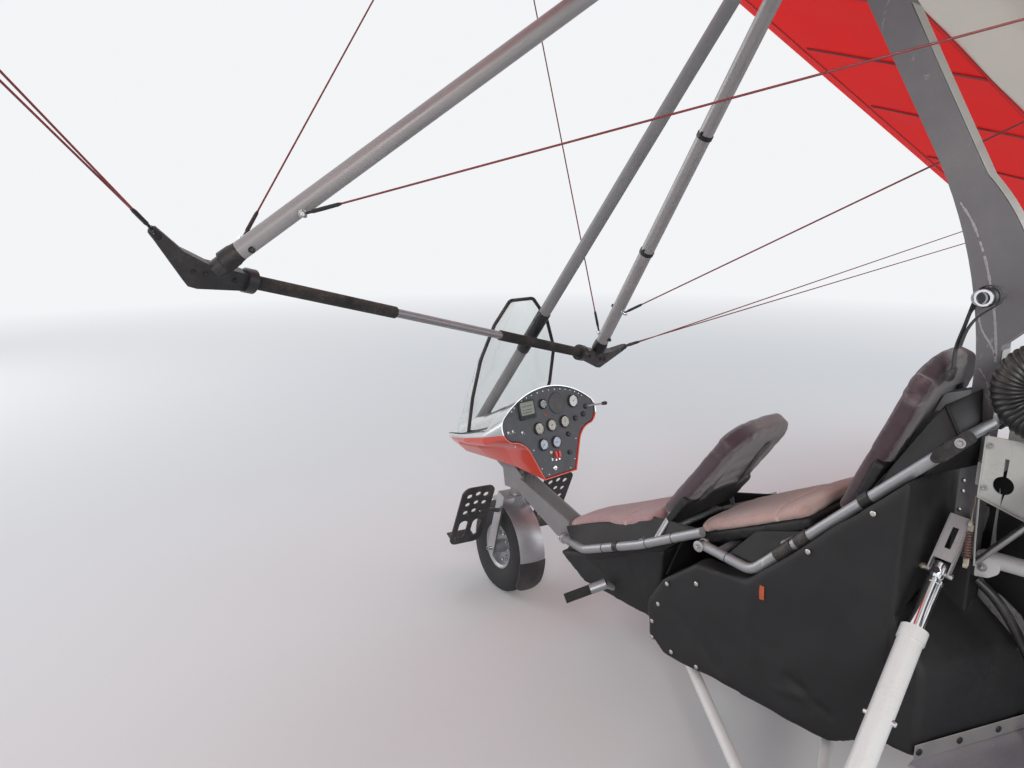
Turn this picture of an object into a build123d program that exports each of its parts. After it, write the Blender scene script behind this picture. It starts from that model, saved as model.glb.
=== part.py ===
"""Two-seat weight-shift microlight trike with its flex wing, parked on its wheels.

Millimetres. The nose points along -Y, port is +X, +Z is up and the ground is z = 0.
Everything is drawn in the trike frame, whose origin lies on the ground midway between the
main wheels, and is moved at the end so that the origin is the bottom centre of the whole.
"""
import os
from math import atan2, cos, degrees, hypot, radians, sin, tan

from build123d import *

# Whole aircraft
ORIGIN_X = 84
ORIGIN_Y = -406
RUNNING_GAP = 0.05
SKIN_GAP = 0.3

# Main wheels and landing gear
WHEEL_RADIUS = 200
TYRE_WIDTH = 112
RIM_RADIUS = 104
RIM_WIDTH = 84
RIM_FLANGE = 7
HUB_HALF = 40
WHEEL_X = 862
AXLE_RADIUS = 12.5
AXLE_INNER_X = 742
AXLE_OUTER_X = 918
ARM_RADIUS = 17
ARM_ROOT_Z = 240
FRONT_ARM_Y = -880
MIDDLE_ARM_Y = -300
LEG_PIN = (140, -38, 776)
LEG_PIN_RADIUS = 7
LEG_ROD_RADIUS = 15
LEG_TUBE_RADIUS = 29
LEG_FOOT_Y = -14
LEG_COLLAR_SHARE = 0.20

# Nosewheel and steering
NOSE_WHEEL_Y = -1795
NOSE_TYRE_WIDTH = 96
NOSE_RIM_WIDTH = 74
NOSE_AXLE_RADIUS = 10
STEER_RAKE = 15
STEER_REST = -10
FORK_LEG_X = 66
FORK_LEG_THICK = 8
FORK_HALF_DEPTH = 24
CROWN_LEVEL = 262
CROWN_THICK = 14
STEERER_RADIUS = 14
HEAD_LOW = 282
HEAD_HIGH = 372
HEAD_RADIUS = 26
GUARD_RADIUS = 216
GUARD_WALL = 3
GUARD_DOME = 8
GUARD_WIDTH = 120
FLAP_CORNER = 42
PEDAL_X = 200
PEDAL_WIDTH = 150
PEDAL_HEIGHT = 310

# Keel, mast and strut
KEEL_HALF = 25
KEEL_LOW = 208
KEEL_HIGH = 262
KEEL_TAIL_Y = 430
KNEE = (-1398, 388)
KNEE_BOLT_REACH = 25
TIE_DOWN_RADIUS = 6
MAST_HALF = 35
MAST_FRONT_Y = -50
MAST_BACK_Y = 0
STRUT_RADIUS = 22.5
STRUT_TOP_Z = 2455
STRUT_FOOT_Z = 725
STRUT_SLOPE = 0.7734
STRUT_Y_AT_TOP = -625
HEAD_PLATE = 6
LUG_HALF = 16

# Wing datum, a point on the keel tube's centreline, and how the wing lies at rest
DATUM_Y = -501
DATUM_Z = 2601
WING_PITCH = 22.1
WING_ROLL = 16.5
WING_KEEL_RADIUS = 30
WING_KEEL_WALL = 3
WING_NOSE_Y = -1491
WING_TAIL_Y = 1620
HANG_Y = -60
HANG_DROP = 72
HANG_BOLT_RADIUS = 8
HANG_COLLAR_RADIUS = 42
HANG_COLLAR_LENGTH = 84
HANG_CHEEK = 10

# Control frame
BAR_HALF = 875
BAR_Y = -437
BAR_Z = -1703
APEX_Y = 42
APEX_Z = 76
UPRIGHT_RADIUS = 25
UPRIGHT_WALL = 2
BAR_RADIUS = 14
GRIP_RADIUS = 19
GRIP_LENGTH = 497
UPRIGHT_TOP_Z = -34
UPRIGHT_LOW_Z = BAR_Z + 42
CORNER_HALF = 18
CORNER_TIP_HALF = 7
COLLAR_RADIUS = 33
COLLAR_NEAR = 94
COLLAR_FAR = 122

# Rigging
WIRE_RADIUS = 2.5
STUD_RADIUS = 5
WIRE_BOLT_RADIUS = 6
WIRE_BOLT_REACH = 33
FRONT_WIRE_Z = BAR_Z + 103
REAR_WIRE_Z = BAR_Z + 240
TIP_REACH = 168
TIP_RISE = 72
SIDE_WIRE_STATIONS = (3300, 3180)
KINGPOST_Y = 120
KINGPOST_RADIUS = 19
KINGPOST_TOP = 1000

# Sail
HALF_SPAN = 4900
SAIL_ROOT_X = 36
SWEEP = 24.3
ROOT_CHORD = 2400
TIP_CHORD = 760
DROOP = 3.85
CAMBER = 0.085
CREST = 0.28
DOUBLE_SHARE = 0.62
SAIL_WALL = 4
NOSE_TUBE_ROOT = 34
NOSE_TUBE_TIP = 24
SAIL_STATIONS = (SAIL_ROOT_X, 1700, 3400, HALF_SPAN)

# Pod, panel and windscreen
POD_WALL = 4
POD_LIP = 8
POD_LIP_REACH = 8
PANEL_BOTTOM_Y = -1466
PANEL_BOTTOM_Z = 615
PANEL_LEAN = 15.5
PANEL_THICK = 4
SCREEN_WALL = 3
SCREEN_TOP = (-1702, 1285)
SCREEN_TOP_HALF = 62
HOOP_RADIUS = 7
HOOP_BENDS = [90, 90, 60, 28, 28, 60, 90, 90]

# Seats and fairing
SEAT_TUBE_RADIUS = 15
HOOP_TUBE_RADIUS = 10
FAIRING_HALF = 270
FAIRING_WALL = 5
FAIRING_FLOOR = 268
FAIRING_REAR_Y = -78
FAIRING_STEP_Z = 640
TAIL_SIDE_Y = 5
TAIL_POINT_Y = 118
TAIL_LIP = 20
TRAY_TOP = 339.7
TRAY_WALL = 3
TRAY_HALF = 300
TRAY_TAIL_Y = 420
STRIP_HEIGHT = 24
STRIP_WALL = 2.5

# Engine and propeller
CRANK_Z = 1030
PROP_Z = 1150
PROP_Y = 850
PROP_RADIUS = 800
PROP_SHAFT_RADIUS = 15
HUB_RADIUS = 68
SHAFT_START_Y = 590
CYLINDERS = ((1, 270), (-1, 400))
FIN_COUNT = 9
FIN_PITCH = 14
BLADES = 3
LOW_TUBE_Z = 800


def rod(start, end, radius, wall=None):
    """Round bar between two points, or a tube where a wall is given."""
    run = Vector(*end) - Vector(*start)
    seat = Plane(origin=start, z_dir=run).location * Pos(0, 0, run.length / 2)
    bar = seat * Cylinder(radius, run.length)
    if wall is None:
        return bar
    return bar - seat * Cylinder(radius - wall, run.length)


def bent_rod(points, bends, radius):
    """Round tube along straight runs joined by tangent arcs."""
    path = FilletPolyline(*points, radius=bends)
    return sweep(Plane(origin=path @ 0, z_dir=path % 0) * Circle(radius), path=path)


def block(low, high):
    """Rectangular block between two corners."""
    size = [b - a for a, b in zip(low, high)]
    middle = [(a + b) / 2 for a, b in zip(low, high)]
    return Pos(*middle) * Box(*size)


def side_plate(outline, x_low, x_high):
    """Flat plate drawn in side view, as (y, z) points, between two x planes."""
    face = make_face(Polyline(*[(y, z) for y, z in outline], close=True))
    return extrude(Plane.YZ.offset(x_low) * face, amount=x_high - x_low)


def front_plate(outline, y_low, y_high):
    """Flat plate drawn in front view, as (x, z) points, between two y planes."""
    face = make_face(Polyline(*[(x, -z) for x, z in outline], close=True))
    seat = Plane(origin=(0, y_low, 0), x_dir=(1, 0, 0), z_dir=(0, 1, 0))
    return extrude(seat * face, amount=y_high - y_low)


def cross_pin(x_low, x_high, y, z, radius):
    """Pin along X."""
    return rod((x_low, y, z), (x_high, y, z), radius)


def both_sides(shape):
    """The shape and its mirror image in the trike's centre plane."""
    return [shape, mirror(shape, about=Plane.YZ)]


# The wing's own frame: x to port, y aft along its keel and z up, before it is laid over
def wing_frame():
    nose_up = radians(WING_PITCH)
    over = radians(WING_ROLL)
    up = Vector(0, sin(nose_up), cos(nose_up))
    port = Vector(cos(over), 0, 0) + up * sin(over)
    top = up * cos(over) - Vector(sin(over), 0, 0)
    return Plane(origin=(0, DATUM_Y, DATUM_Z), x_dir=port, z_dir=top)


def hang_frame():
    """The hang block pitches with the wing but doesn't roll."""
    nose_up = radians(WING_PITCH)
    up = Vector(0, sin(nose_up), cos(nose_up))
    return Plane(origin=(0, DATUM_Y, DATUM_Z), x_dir=(1, 0, 0), z_dir=up)


def hang_bolt():
    """Centre of the pitch bolt, in the trike frame."""
    return hang_frame().from_local_coords(Vector(0, HANG_Y, -HANG_DROP))


def strut_point(z):
    """Point on the front strut's centreline at a height."""
    return (0, STRUT_Y_AT_TOP + STRUT_SLOPE * (z - STRUT_TOP_Z), z)


def steer_axis():
    """Axis of the fork, through the nosewheel's centre and raked back."""
    lean = radians(STEER_RAKE)
    return Axis((0, NOSE_WHEEL_Y, WHEEL_RADIUS), (0, sin(lean), cos(lean)))


def steer_frame():
    """Frame of the fork pointing straight ahead: z up the steering axis, from the axle."""
    axis = steer_axis()
    return Plane(origin=axis.position, x_dir=(1, 0, 0), z_dir=axis.direction)


def steered(shape):
    """Set a piece of the fork, drawn straight ahead, at the angle at which it is parked."""
    return shape.rotate(steer_axis(), STEER_REST)


# Frame of the trike
def keel_beam():
    """Lower keel: a rising nose beam, a knee joint and the long tube under the seats."""
    lower = [
        (-1420, 352), (-1375, 420), (-1330, 408), (-840, KEEL_HIGH),
        (KEEL_TAIL_Y, KEEL_HIGH), (KEEL_TAIL_Y, KEEL_LOW), (-850, KEEL_LOW), (-1390, 345),
    ]
    beam = side_plate(lower, -KEEL_HALF, KEEL_HALF)
    return [beam - cross_pin(-60, 60, KEEL_TAIL_Y - 25, (KEEL_LOW + KEEL_HIGH) / 2, TIE_DOWN_RADIUS)]


def nose_beam():
    """Twin grey beams from the knee joint up to the steering head."""
    outline = [(-1425, 368), (-1372, 392), (-1375, 448), (-1655, 552), (-1672, 498)]
    inner = HEAD_RADIUS + HEAD_PLATE + SKIN_GAP
    plate = side_plate(outline, inner, inner + 8)
    plate += cross_pin(KEEL_HALF, inner, *KNEE, 17)
    plate += cross_pin(inner + 8, 30 + KNEE_BOLT_REACH, *KNEE, 12)
    return both_sides(plate)


def mast():
    """Curved pylon: an upright post below, a broad raked beam above, a narrow lug on top."""
    bolt = hang_bolt()
    front = [
        Line((MAST_FRONT_Y, KEEL_HIGH), (MAST_FRONT_Y, 1290)),
        ThreePointArc((MAST_FRONT_Y, 1290), (-93, 1519), (-187, 1755)),
        Line((-187, 1755), (bolt.Y - 26, bolt.Z - 30)),
        ThreePointArc((bolt.Y - 26, bolt.Z - 30), (bolt.Y, bolt.Z + 22), (bolt.Y + 26, bolt.Z - 20)),
        Line((bolt.Y + 26, bolt.Z - 20), (-295, 2124)),
        Line((-295, 2124), (-80, 1720)),
        ThreePointArc((-80, 1720), (25, 1560), (70, 1400)),
        Line((70, 1400), (MAST_BACK_Y, 1330)),
        Line((MAST_BACK_Y, 1330), (MAST_BACK_Y, KEEL_HIGH)),
        Line((MAST_BACK_Y, KEEL_HIGH), (MAST_FRONT_Y, KEEL_HIGH)),
    ]
    face = make_face(front)
    body = extrude(Plane.YZ * face, amount=MAST_HALF, both=True)
    waist = [
        (-MAST_HALF, 0), (-MAST_HALF, 2180), (-STRUT_RADIUS, 2325), (-STRUT_RADIUS, 2480),
        (-LUG_HALF, 2490), (-LUG_HALF, 2700), (LUG_HALF, 2700), (LUG_HALF, 2490),
        (STRUT_RADIUS, 2480), (STRUT_RADIUS, 2325), (MAST_HALF, 2180), (MAST_HALF, 0),
    ]
    body = body & front_plate(waist, -900, 200)
    return [body - cross_pin(-60, 60, bolt.Y, bolt.Z, HANG_BOLT_RADIUS)]


def mast_head():
    """Cheek plates that tie the strut's top to the mast, and the hang bolt."""
    _, top_y, top_z = strut_point(STRUT_TOP_Z)
    outline = [
        (top_y - 76, top_z - 89), (top_y - 6, top_z + 11), (top_y + 73, top_z + 19),
        (top_y + 145, top_z - 35), (top_y + 151, top_z - 119), (top_y + 105, top_z - 125),
    ]
    inner = STRUT_RADIUS + SKIN_GAP
    cheek = side_plate(outline, inner, inner + HEAD_PLATE)
    bolt = hang_bolt()
    reach = LUG_HALF + HANG_CHEEK + 12
    pin = cross_pin(-reach, reach, bolt.Y, bolt.Z, HANG_BOLT_RADIUS)
    return [*both_sides(cheek), pin]


def front_strut():
    """Round strut from the pod to the mast head."""
    return [rod(strut_point(STRUT_FOOT_Z), strut_point(STRUT_TOP_Z), STRUT_RADIUS, 2.5)]


def strut_sleeve():
    """Black rubber sleeve on the strut, where the bar rests against it when parked."""
    return [rod(strut_point(1085), strut_point(1245), STRUT_RADIUS + 3, 3)]


def steering_head():
    """Head tube for the fork, and the foot plates that carry the strut."""
    frame = steer_frame().location
    ends = (0, 0, HEAD_LOW), (0, 0, HEAD_HIGH)
    tube = frame * rod(*ends, HEAD_RADIUS, HEAD_RADIUS - STEERER_RADIUS - RUNNING_GAP)
    foot = strut_point(STRUT_FOOT_Z)
    outline = [
        (-1640, 500), (-1655, 560), (-1800, 672), (foot[1] + 34, foot[2] - 3),
        (foot[1] + 4, foot[2] - 8), (foot[1] - 6, foot[2] - 50), (-1770, 568), (-1758, 492),
    ]
    plate = side_plate(outline, HEAD_RADIUS, HEAD_RADIUS + HEAD_PLATE)
    return [tube, *both_sides(plate)]


def gear_arms():
    """Two arms a side from the keel out to each axle, with the axle's lug."""
    pieces = []
    for side in (1, -1):
        lug = block((AXLE_INNER_X, -34, WHEEL_RADIUS - 30), (AXLE_INNER_X + 34, 34, WHEEL_RADIUS + 30))
        for y in (FRONT_ARM_Y, MIDDLE_ARM_Y):
            lug += rod((KEEL_HALF + 12, y, ARM_ROOT_Z), (AXLE_INNER_X + 8, -6, WHEEL_RADIUS), ARM_RADIUS)
            lug += block((KEEL_HALF, y - 30, ARM_ROOT_Z - 22), (KEEL_HALF + 16, y + 30, ARM_ROOT_Z + 20))
        lug -= block((-KEEL_HALF, -1000, KEEL_LOW), (KEEL_HALF, 0, KEEL_HIGH))
        lug -= cross_pin(AXLE_INNER_X - 40, AXLE_OUTER_X, 0, WHEEL_RADIUS, AXLE_RADIUS)
        pieces.append(lug if side == 1 else mirror(lug, about=Plane.YZ))
    return pieces


def axles():
    """Stub axles, each with an inner shoulder and an outer nut."""
    pieces = []
    for side in (1, -1):
        stub = cross_pin(side * (AXLE_INNER_X - 20), side * AXLE_OUTER_X, 0, WHEEL_RADIUS, AXLE_RADIUS)
        collar = cross_pin(side * (AXLE_INNER_X + 34), side * (AXLE_INNER_X + 40), 0, WHEEL_RADIUS, 24)
        nut = cross_pin(side * (AXLE_OUTER_X - 12), side * AXLE_OUTER_X, 0, WHEEL_RADIUS, 19)
        pieces.append(stub + collar + nut)
    return pieces


def leg_foot():
    return (AXLE_INNER_X - 4, LEG_FOOT_Y, WHEEL_RADIUS + 46)


def leg_point(share):
    """Point along the telescopic leg, 0 at its pin and 1 at its foot."""
    return tuple(a + (b - a) * share for a, b in zip(LEG_PIN, leg_foot()))


def leg_rods():
    """Chrome upper rods with an eye at the pin."""
    rod_part = rod(leg_point(0), leg_point(LEG_COLLAR_SHARE + 0.05), LEG_ROD_RADIUS)
    eye = Pos(*LEG_PIN) * Rot(90, 0, 0) * Cylinder(20, 2 * LEG_ROD_RADIUS)
    pin = Pos(*LEG_PIN) * Rot(90, 0, 0) * Cylinder(LEG_PIN_RADIUS, 64)
    return both_sides(rod_part + eye + pin)


def leg_tubes():
    """White lower tubes with a collar on top and a foot on the axle lug."""
    start = leg_point(LEG_COLLAR_SHARE)
    tube = rod(start, leg_point(1), LEG_TUBE_RADIUS)
    tube += rod(start, leg_point(LEG_COLLAR_SHARE + 0.04), LEG_TUBE_RADIUS + 3)
    tube += block((AXLE_INNER_X - 2, -30, WHEEL_RADIUS + 30), (AXLE_INNER_X + 34, 30, WHEEL_RADIUS + 62))
    tube -= rod(leg_point(-0.02), leg_point(LEG_COLLAR_SHARE + 0.05), LEG_ROD_RADIUS)
    return both_sides(tube)


def leg_brackets():
    """Slotted clevis plates from the mast's post to the legs' pins."""
    x, y, z = LEG_PIN
    outline = [
        (MAST_HALF, 915), (MAST_HALF, 800), (x - 14, z - 26),
        (x + 24, z - 8), (x + 20, z + 26), (MAST_HALF + 30, 915),
    ]
    slot = [(70, 838), (64, 828), (104, 790), (111, 800)]
    pieces = []
    for near in (LEG_ROD_RADIUS + 1, -LEG_ROD_RADIUS - 7):
        plate = front_plate(outline, y + near, y + near + 6) - front_plate(slot, y - 40, y + 40)
        plate -= Pos(*LEG_PIN) * Rot(90, 0, 0) * Cylinder(LEG_PIN_RADIUS, 80)
        pieces += both_sides(plate)
    return pieces


# Nosewheel fork, pedals and guard
def nose_fork():
    """Flat-legged fork with crown, steerer and axle."""
    frame = steer_frame().location
    outer = FORK_LEG_X + FORK_LEG_THICK
    crown_top = CROWN_LEVEL + CROWN_THICK
    outline = [
        (-outer, -22), (-outer, crown_top), (outer, crown_top), (outer, -22),
        (FORK_LEG_X, -22), (FORK_LEG_X, CROWN_LEVEL), (-FORK_LEG_X, CROWN_LEVEL), (-FORK_LEG_X, -22),
    ]
    arch = front_plate(outline, -FORK_HALF_DEPTH, FORK_HALF_DEPTH)
    steerer = rod((0, 0, CROWN_LEVEL), (0, 0, HEAD_HIGH + 20), STEERER_RADIUS)
    nut = rod((0, 0, HEAD_HIGH + 5), (0, 0, HEAD_HIGH + 23), STEERER_RADIUS + 8)
    race = rod((0, 0, crown_top), (0, 0, crown_top + 5), HEAD_RADIUS)
    axle = rod((-FORK_LEG_X - 22, 0, 0), (FORK_LEG_X + 22, 0, 0), NOSE_AXLE_RADIUS)
    bore = rod((-FORK_LEG_X - 30, 0, 0), (FORK_LEG_X + 30, 0, 0), 5)
    return [steered(frame * (arch + steerer + nut + race + axle - bore))]


def guard_arc(start, end, radius, wall, width, corner=0):
    """Domed strip round the nosewheel between two angles from straight aft."""
    half = width / 2
    ring = [
        ThreePointArc((-half, radius + wall), (0, radius + GUARD_DOME + wall), (half, radius + wall)),
        Line((half, radius + wall), (half, radius)),
        ThreePointArc((half, radius), (0, radius + GUARD_DOME), (-half, radius)),
        Line((-half, radius), (-half, radius + wall)),
    ]
    strip = revolve(make_face(ring), axis=Axis.X, revolution_arc=end - start)
    if corner:
        mask = Pos(0, 0, radius) * Box(width, 3 * radius, 2 * radius)
        strip = strip & fillet(mask.edges().filter_by(Axis.Y).sort_by(Axis.Z)[:2], corner)
    return steered(Pos(0, NOSE_WHEEL_Y, WHEEL_RADIUS) * Rot(start, 0, 0) * strip)


def nose_guard():
    """Silver domed guard over the top and back of the nosewheel, with its stay from the crown."""
    low = (-20, FORK_HALF_DEPTH, GUARD_RADIUS + GUARD_DOME)
    high = (20, FORK_HALF_DEPTH + 6, CROWN_LEVEL + 10)
    stay = steered(steer_frame().location * block(low, high))
    return [guard_arc(2, 100, GUARD_RADIUS, GUARD_WALL, GUARD_WIDTH) + stay]


def guard_flap():
    """Black flap with rounded corners that carries the guard on down."""
    return [guard_arc(-36, 1.95, GUARD_RADIUS - 2, GUARD_WALL + 3, GUARD_WIDTH + 6, FLAP_CORNER)]


def pedals():
    """Perforated foot plates each side of the wheel, on arms from the fork legs."""
    frame = steer_frame().location
    plate = Box(PEDAL_WIDTH, 6, PEDAL_HEIGHT)
    plate = fillet(plate.edges().filter_by(Axis.Y), 34)
    holes = [
        # x, z, radius
        (-38, 110, 12), (0, 118, 12), (38, 110, 12), (-38, 66, 11), (0, 72, 11), (38, 66, 11),
        (-38, 22, 11), (0, 28, 11), (38, 22, 11),
    ]
    for x, z, r in holes:
        plate -= Pos(x, 0, z) * Rot(90, 0, 0) * Cylinder(r, 20)
    for x in (-31, 31):
        oval = Pos(x, -72, 0) * SlotOverall(96, 40, rotation=90)
        plate -= extrude(Plane.XZ * oval, amount=10, both=True)
    arm = rod((FORK_LEG_X + FORK_LEG_THICK - PEDAL_X, 0, 0), (-20, -2, 30), 9)
    heel = block((-55, -62, -PEDAL_HEIGHT / 2 + 4), (55, -3, -PEDAL_HEIGHT / 2 + 10))
    one = Pos(PEDAL_X, 0, 195) * (Rot(-8, 0, 0) * (plate + heel) + arm)
    one = frame * (one - block((0, -50, 0), (FORK_LEG_X + FORK_LEG_THICK, 50, 400)))
    other = mirror(one, about=Plane.YZ)
    return [steered(one), steered(other)]


# Wheels
def wheel_solid(outline):
    """Turn an outline, drawn as (axial, radial) points, round the X axis."""
    face = make_face(Polyline(*[(a, 0, r) for a, r in outline], close=True))
    return revolve(face, axis=Axis.X, revolution_arc=360)


def rim(width, radius, bore, hub_half):
    """Two-part pressed rim: rims, well, disc with holes and a hub."""
    w = width / 2
    lip = radius + RIM_FLANGE
    half = [
        (hub_half, bore), (hub_half, bore + 16), (6, bore + 20), (6, radius - 24), (w - 8, radius - 20),
        (w - 2, radius - 10), (w, lip), (w - RIM_FLANGE, lip), (w - RIM_FLANGE, radius - 2),
    ]
    body = wheel_solid(half + [(-x, r) for x, r in reversed(half)])
    ring = (bore + 20 + radius - 24) / 2
    for k in range(6):
        turn = radians(60 * k)
        body -= rod((-20, ring * cos(turn), ring * sin(turn)), (20, ring * cos(turn), ring * sin(turn)), 11)
    return body


def tyre(width, rim_width, radius, rim_radius):
    """Tyre section with bead, rounded wall and crown."""
    w = width / 2
    b = rim_width / 2 - RIM_FLANGE
    bead = rim_radius + RIM_FLANGE + 1
    section = [
        Line((-b, rim_radius - 2), (b, rim_radius - 2)),
        Line((b, rim_radius - 2), (b, bead)),
        ThreePointArc((b, bead), (w, (radius + rim_radius) / 2 + 6), (w * 0.62, radius - 8)),
        ThreePointArc((w * 0.62, radius - 8), (0, radius), (-w * 0.62, radius - 8)),
        ThreePointArc((-w * 0.62, radius - 8), (-w, (radius + rim_radius) / 2 + 6), (-b, bead)),
        Line((-b, bead), (-b, rim_radius - 2)),
    ]
    face = Plane.XZ * make_face(section)
    return revolve(face, axis=Axis.X, revolution_arc=360)


def main_rim(side):
    bore = AXLE_RADIUS + RUNNING_GAP
    return [Pos(side * WHEEL_X, 0, WHEEL_RADIUS) * rim(RIM_WIDTH, RIM_RADIUS, bore, HUB_HALF)]


def main_tyre(side):
    return [Pos(side * WHEEL_X, 0, WHEEL_RADIUS) * tyre(TYRE_WIDTH, RIM_WIDTH, WHEEL_RADIUS, RIM_RADIUS)]


def nose_rim():
    hub_half = FORK_LEG_X - 6
    seat = Pos(0, NOSE_WHEEL_Y, WHEEL_RADIUS)
    return [steered(seat * rim(NOSE_RIM_WIDTH, RIM_RADIUS, NOSE_AXLE_RADIUS + RUNNING_GAP, hub_half))]


def nose_tyre():
    seat = Pos(0, NOSE_WHEEL_Y, WHEEL_RADIUS)
    return [steered(seat * tyre(NOSE_TYRE_WIDTH, NOSE_RIM_WIDTH, WHEEL_RADIUS, RIM_RADIUS))]


# Pod, panel and windscreen
# The panel's outline, measured up the panel from its bottom edge
PANEL_OUTLINE = {
    "low": 2, "low_half": 82, "neck": 112, "neck_half": 130, "shoulder": 172, "shoulder_half": 214,
    "side": 262, "half": 236, "top": 344,
}
# Pod sections: y, then the same outline's measures in the same order
POD_SECTIONS = [
    (-1640, 620, 82, 700, 128, 738, 198, 800, 234, 905),
    (-1800, 616, 84, 672, 138, 704, 178, 748, 204, 815),
    (-1960, 606, 76, 646, 116, 672, 138, 704, 150, 748),
    (-2110, 604, 26, 616, 38, 626, 46, 640, 50, 664),
]


def lobe(low, low_half, neck, neck_half, shoulder, shoulder_half, side, half, top, grow=0):
    """Face with a narrow lower lobe, wide shoulders and an arched top, grown outward."""
    foot = (low_half + grow, low - grow)
    waist = (neck_half + grow, neck - grow / 2)
    turn = (shoulder_half + grow / 2, shoulder - grow)
    edge = (half + grow, side)
    bend = (waist[0] + 0.44 * (turn[0] - waist[0]), waist[1] + 0.74 * (turn[1] - waist[1]))
    curl = (turn[0] + 1.45 * (edge[0] - turn[0]), turn[1] + 0.37 * (edge[1] - turn[1]))
    flip = [(-x, z) for x, z in (foot, waist, bend, turn, curl, edge)]
    return make_face([
        Line(flip[0], foot),
        Line(foot, waist),
        ThreePointArc(waist, bend, turn),
        ThreePointArc(turn, curl, edge),
        ThreePointArc(edge, (0, top + grow), flip[5]),
        ThreePointArc(flip[5], flip[4], flip[3]),
        ThreePointArc(flip[3], flip[2], flip[1]),
        Line(flip[1], flip[0]),
    ])


def panel_plane():
    """Plane of the instrument panel as the pilot sees it: x to starboard and y up the panel."""
    lean = radians(PANEL_LEAN)
    return Plane(
        origin=(0, PANEL_BOTTOM_Y, PANEL_BOTTOM_Z), x_dir=(-1, 0, 0), z_dir=(0, cos(lean), sin(lean))
    )


def mouth_plane():
    """Plane of the pod's rim round the panel, facing forward."""
    face = panel_plane().offset(POD_LIP_REACH)
    return Plane(origin=face.origin, x_dir=(1, 0, 0), z_dir=-face.z_dir)


def pod_loft(mouth_grow, grow):
    """Pod form from the rim round the panel to the nose."""
    sections = [mouth_plane() * lobe(**PANEL_OUTLINE, grow=mouth_grow)]
    for y, *measures in POD_SECTIONS:
        seat = Plane(origin=(0, y, 0), x_dir=(1, 0, 0), z_dir=(0, -1, 0))
        sections.append(seat * lobe(*measures, grow=grow))
    return loft(sections, ruled=True)


def pod_outside():
    """Outer form of the pod as one solid."""
    return pod_loft(POD_LIP, 0)


def pod_body():
    """Hollow pod with a rim round the panel, open below for the fork."""
    nose_wall = block((-300, POD_SECTIONS[-1][0], 500), (300, POD_SECTIONS[-1][0] + 15, 1000))
    inner = pod_loft(POD_LIP / 2, -POD_WALL) - nose_wall
    seat = panel_plane().offset(-SKIN_GAP)
    board = extrude(seat * lobe(**PANEL_OUTLINE, grow=SKIN_GAP), amount=3 * POD_LIP_REACH)
    shell = pod_outside() - inner - board
    strut_hole = rod(strut_point(600), strut_point(1100), STRUT_RADIUS + SKIN_GAP)
    floor_hole = block((-66, -1930, 560), (66, -1560, 640))
    return shell - strut_hole - floor_hole


def pod_seam():
    """Slanted plane where the orange shell meets the silver cap."""
    rise = atan2(800 - 640, 2110 - 1556)
    return Plane(origin=(0, -1556, 800), x_dir=(1, 0, 0), z_dir=(0, sin(rise) * -1, cos(rise)))


def pod_shell():
    """Orange lower shell of the pod."""
    above = pod_seam().location * Pos(0, 0, 500) * Box(2000, 3000, 1000)
    return [pod_body() - above]


def pod_cap():
    """Silver top cap of the pod."""
    below = pod_seam().location * Pos(0, 0, -500 + SKIN_GAP) * Box(2000, 3000, 1000)
    return [pod_body() - below]


def instrument_panel():
    """Panel with its arched top, wide shoulders and narrow lower lobe."""
    return [extrude(panel_plane() * lobe(**PANEL_OUTLINE), amount=PANEL_THICK)]


# Dials and knobs on the panel: x (starboard is positive, as the pilot reads it), height, radius
DIALS = [
    (-31, 285, 20), (45, 276, 42), (135, 270, 27), (-73, 195, 25), (-4, 196, 25), (69, 197, 25),
    (-64, 130, 24), (6, 126, 24), (134, 199, 10), (183, 207, 10), (79, 144, 9), (69, 72, 9),
    (-24, 28, 9), (-1, 75, 14), (-160, 195, 9), (-205, 208, 9), (-228, 208, 9),
]
DIAL_DEPTH = 10
DISPLAY_AT = (-119, 277)
DISPLAY_SIZE = (82, 72)
LEVER_START = (205, 236, 0)
LEVER_END = (292, 232, 40)


def instruments():
    """Dials, knobs, a square display and the hand lever, each proud of the panel."""
    seat = panel_plane().offset(PANEL_THICK)
    pieces = []
    for x, up, radius in DIALS:
        pieces.append(seat.location * Pos(x, up, DIAL_DEPTH / 2) * Cylinder(radius, DIAL_DEPTH))
    display = Pos(*DISPLAY_AT, DIAL_DEPTH / 2) * Box(*DISPLAY_SIZE, DIAL_DEPTH)
    pieces.append(seat.location * fillet(display.edges().filter_by(Axis.Z), 6))
    start = seat.from_local_coords(Vector(*LEVER_START))
    end = seat.from_local_coords(Vector(*LEVER_END))
    along = (end - start).normalized()
    lever = rod(start, end, 4) + rod(end - along * 9, end + along * 9, 8)
    pieces.append(lever - seat.location * Pos(0, 0, -50) * Box(1000, 1000, 100))
    return pieces


# Windscreen bends: y and z at the middle, half width, then how far back and up the edges lie
SCREEN_ROWS = [
    (-2000, 712, 196, 200, 24),
    (-1914, 900, 214, 168, 8),
    (-1832, 1065, 200, 122, 0),
    (-1758, 1195, 142, 62, 0),
]


def screen_arc(row, inset):
    """End, middle and end of one bend of the screen."""
    y, z, half, back, rise = row
    share = inset / hypot(back, rise)
    return (
        (half - inset, y + back, z + rise),
        (0, y + share * back, z + share * rise),
        (-half + inset, y + back, z + rise),
    )


def screen_bend(row):
    """Closed section of the screen across one bend."""
    a, b, c = screen_arc(row, 0)
    d, e, f = screen_arc(row, SCREEN_WALL)
    return make_face([ThreePointArc(a, b, c), Line(c, f), ThreePointArc(f, e, d), Line(d, a)])


def screen_sheet():
    """Bent sheet with a narrow bend at its top."""
    top = (SCREEN_TOP[0], SCREEN_TOP[1], SCREEN_TOP_HALF, 12, 0)
    return loft([screen_bend(row) for row in [*SCREEN_ROWS, top]], ruled=True)


def windscreen():
    """Clear bent screen in front of the strut."""
    return [screen_sheet() - pod_outside()]


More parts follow.
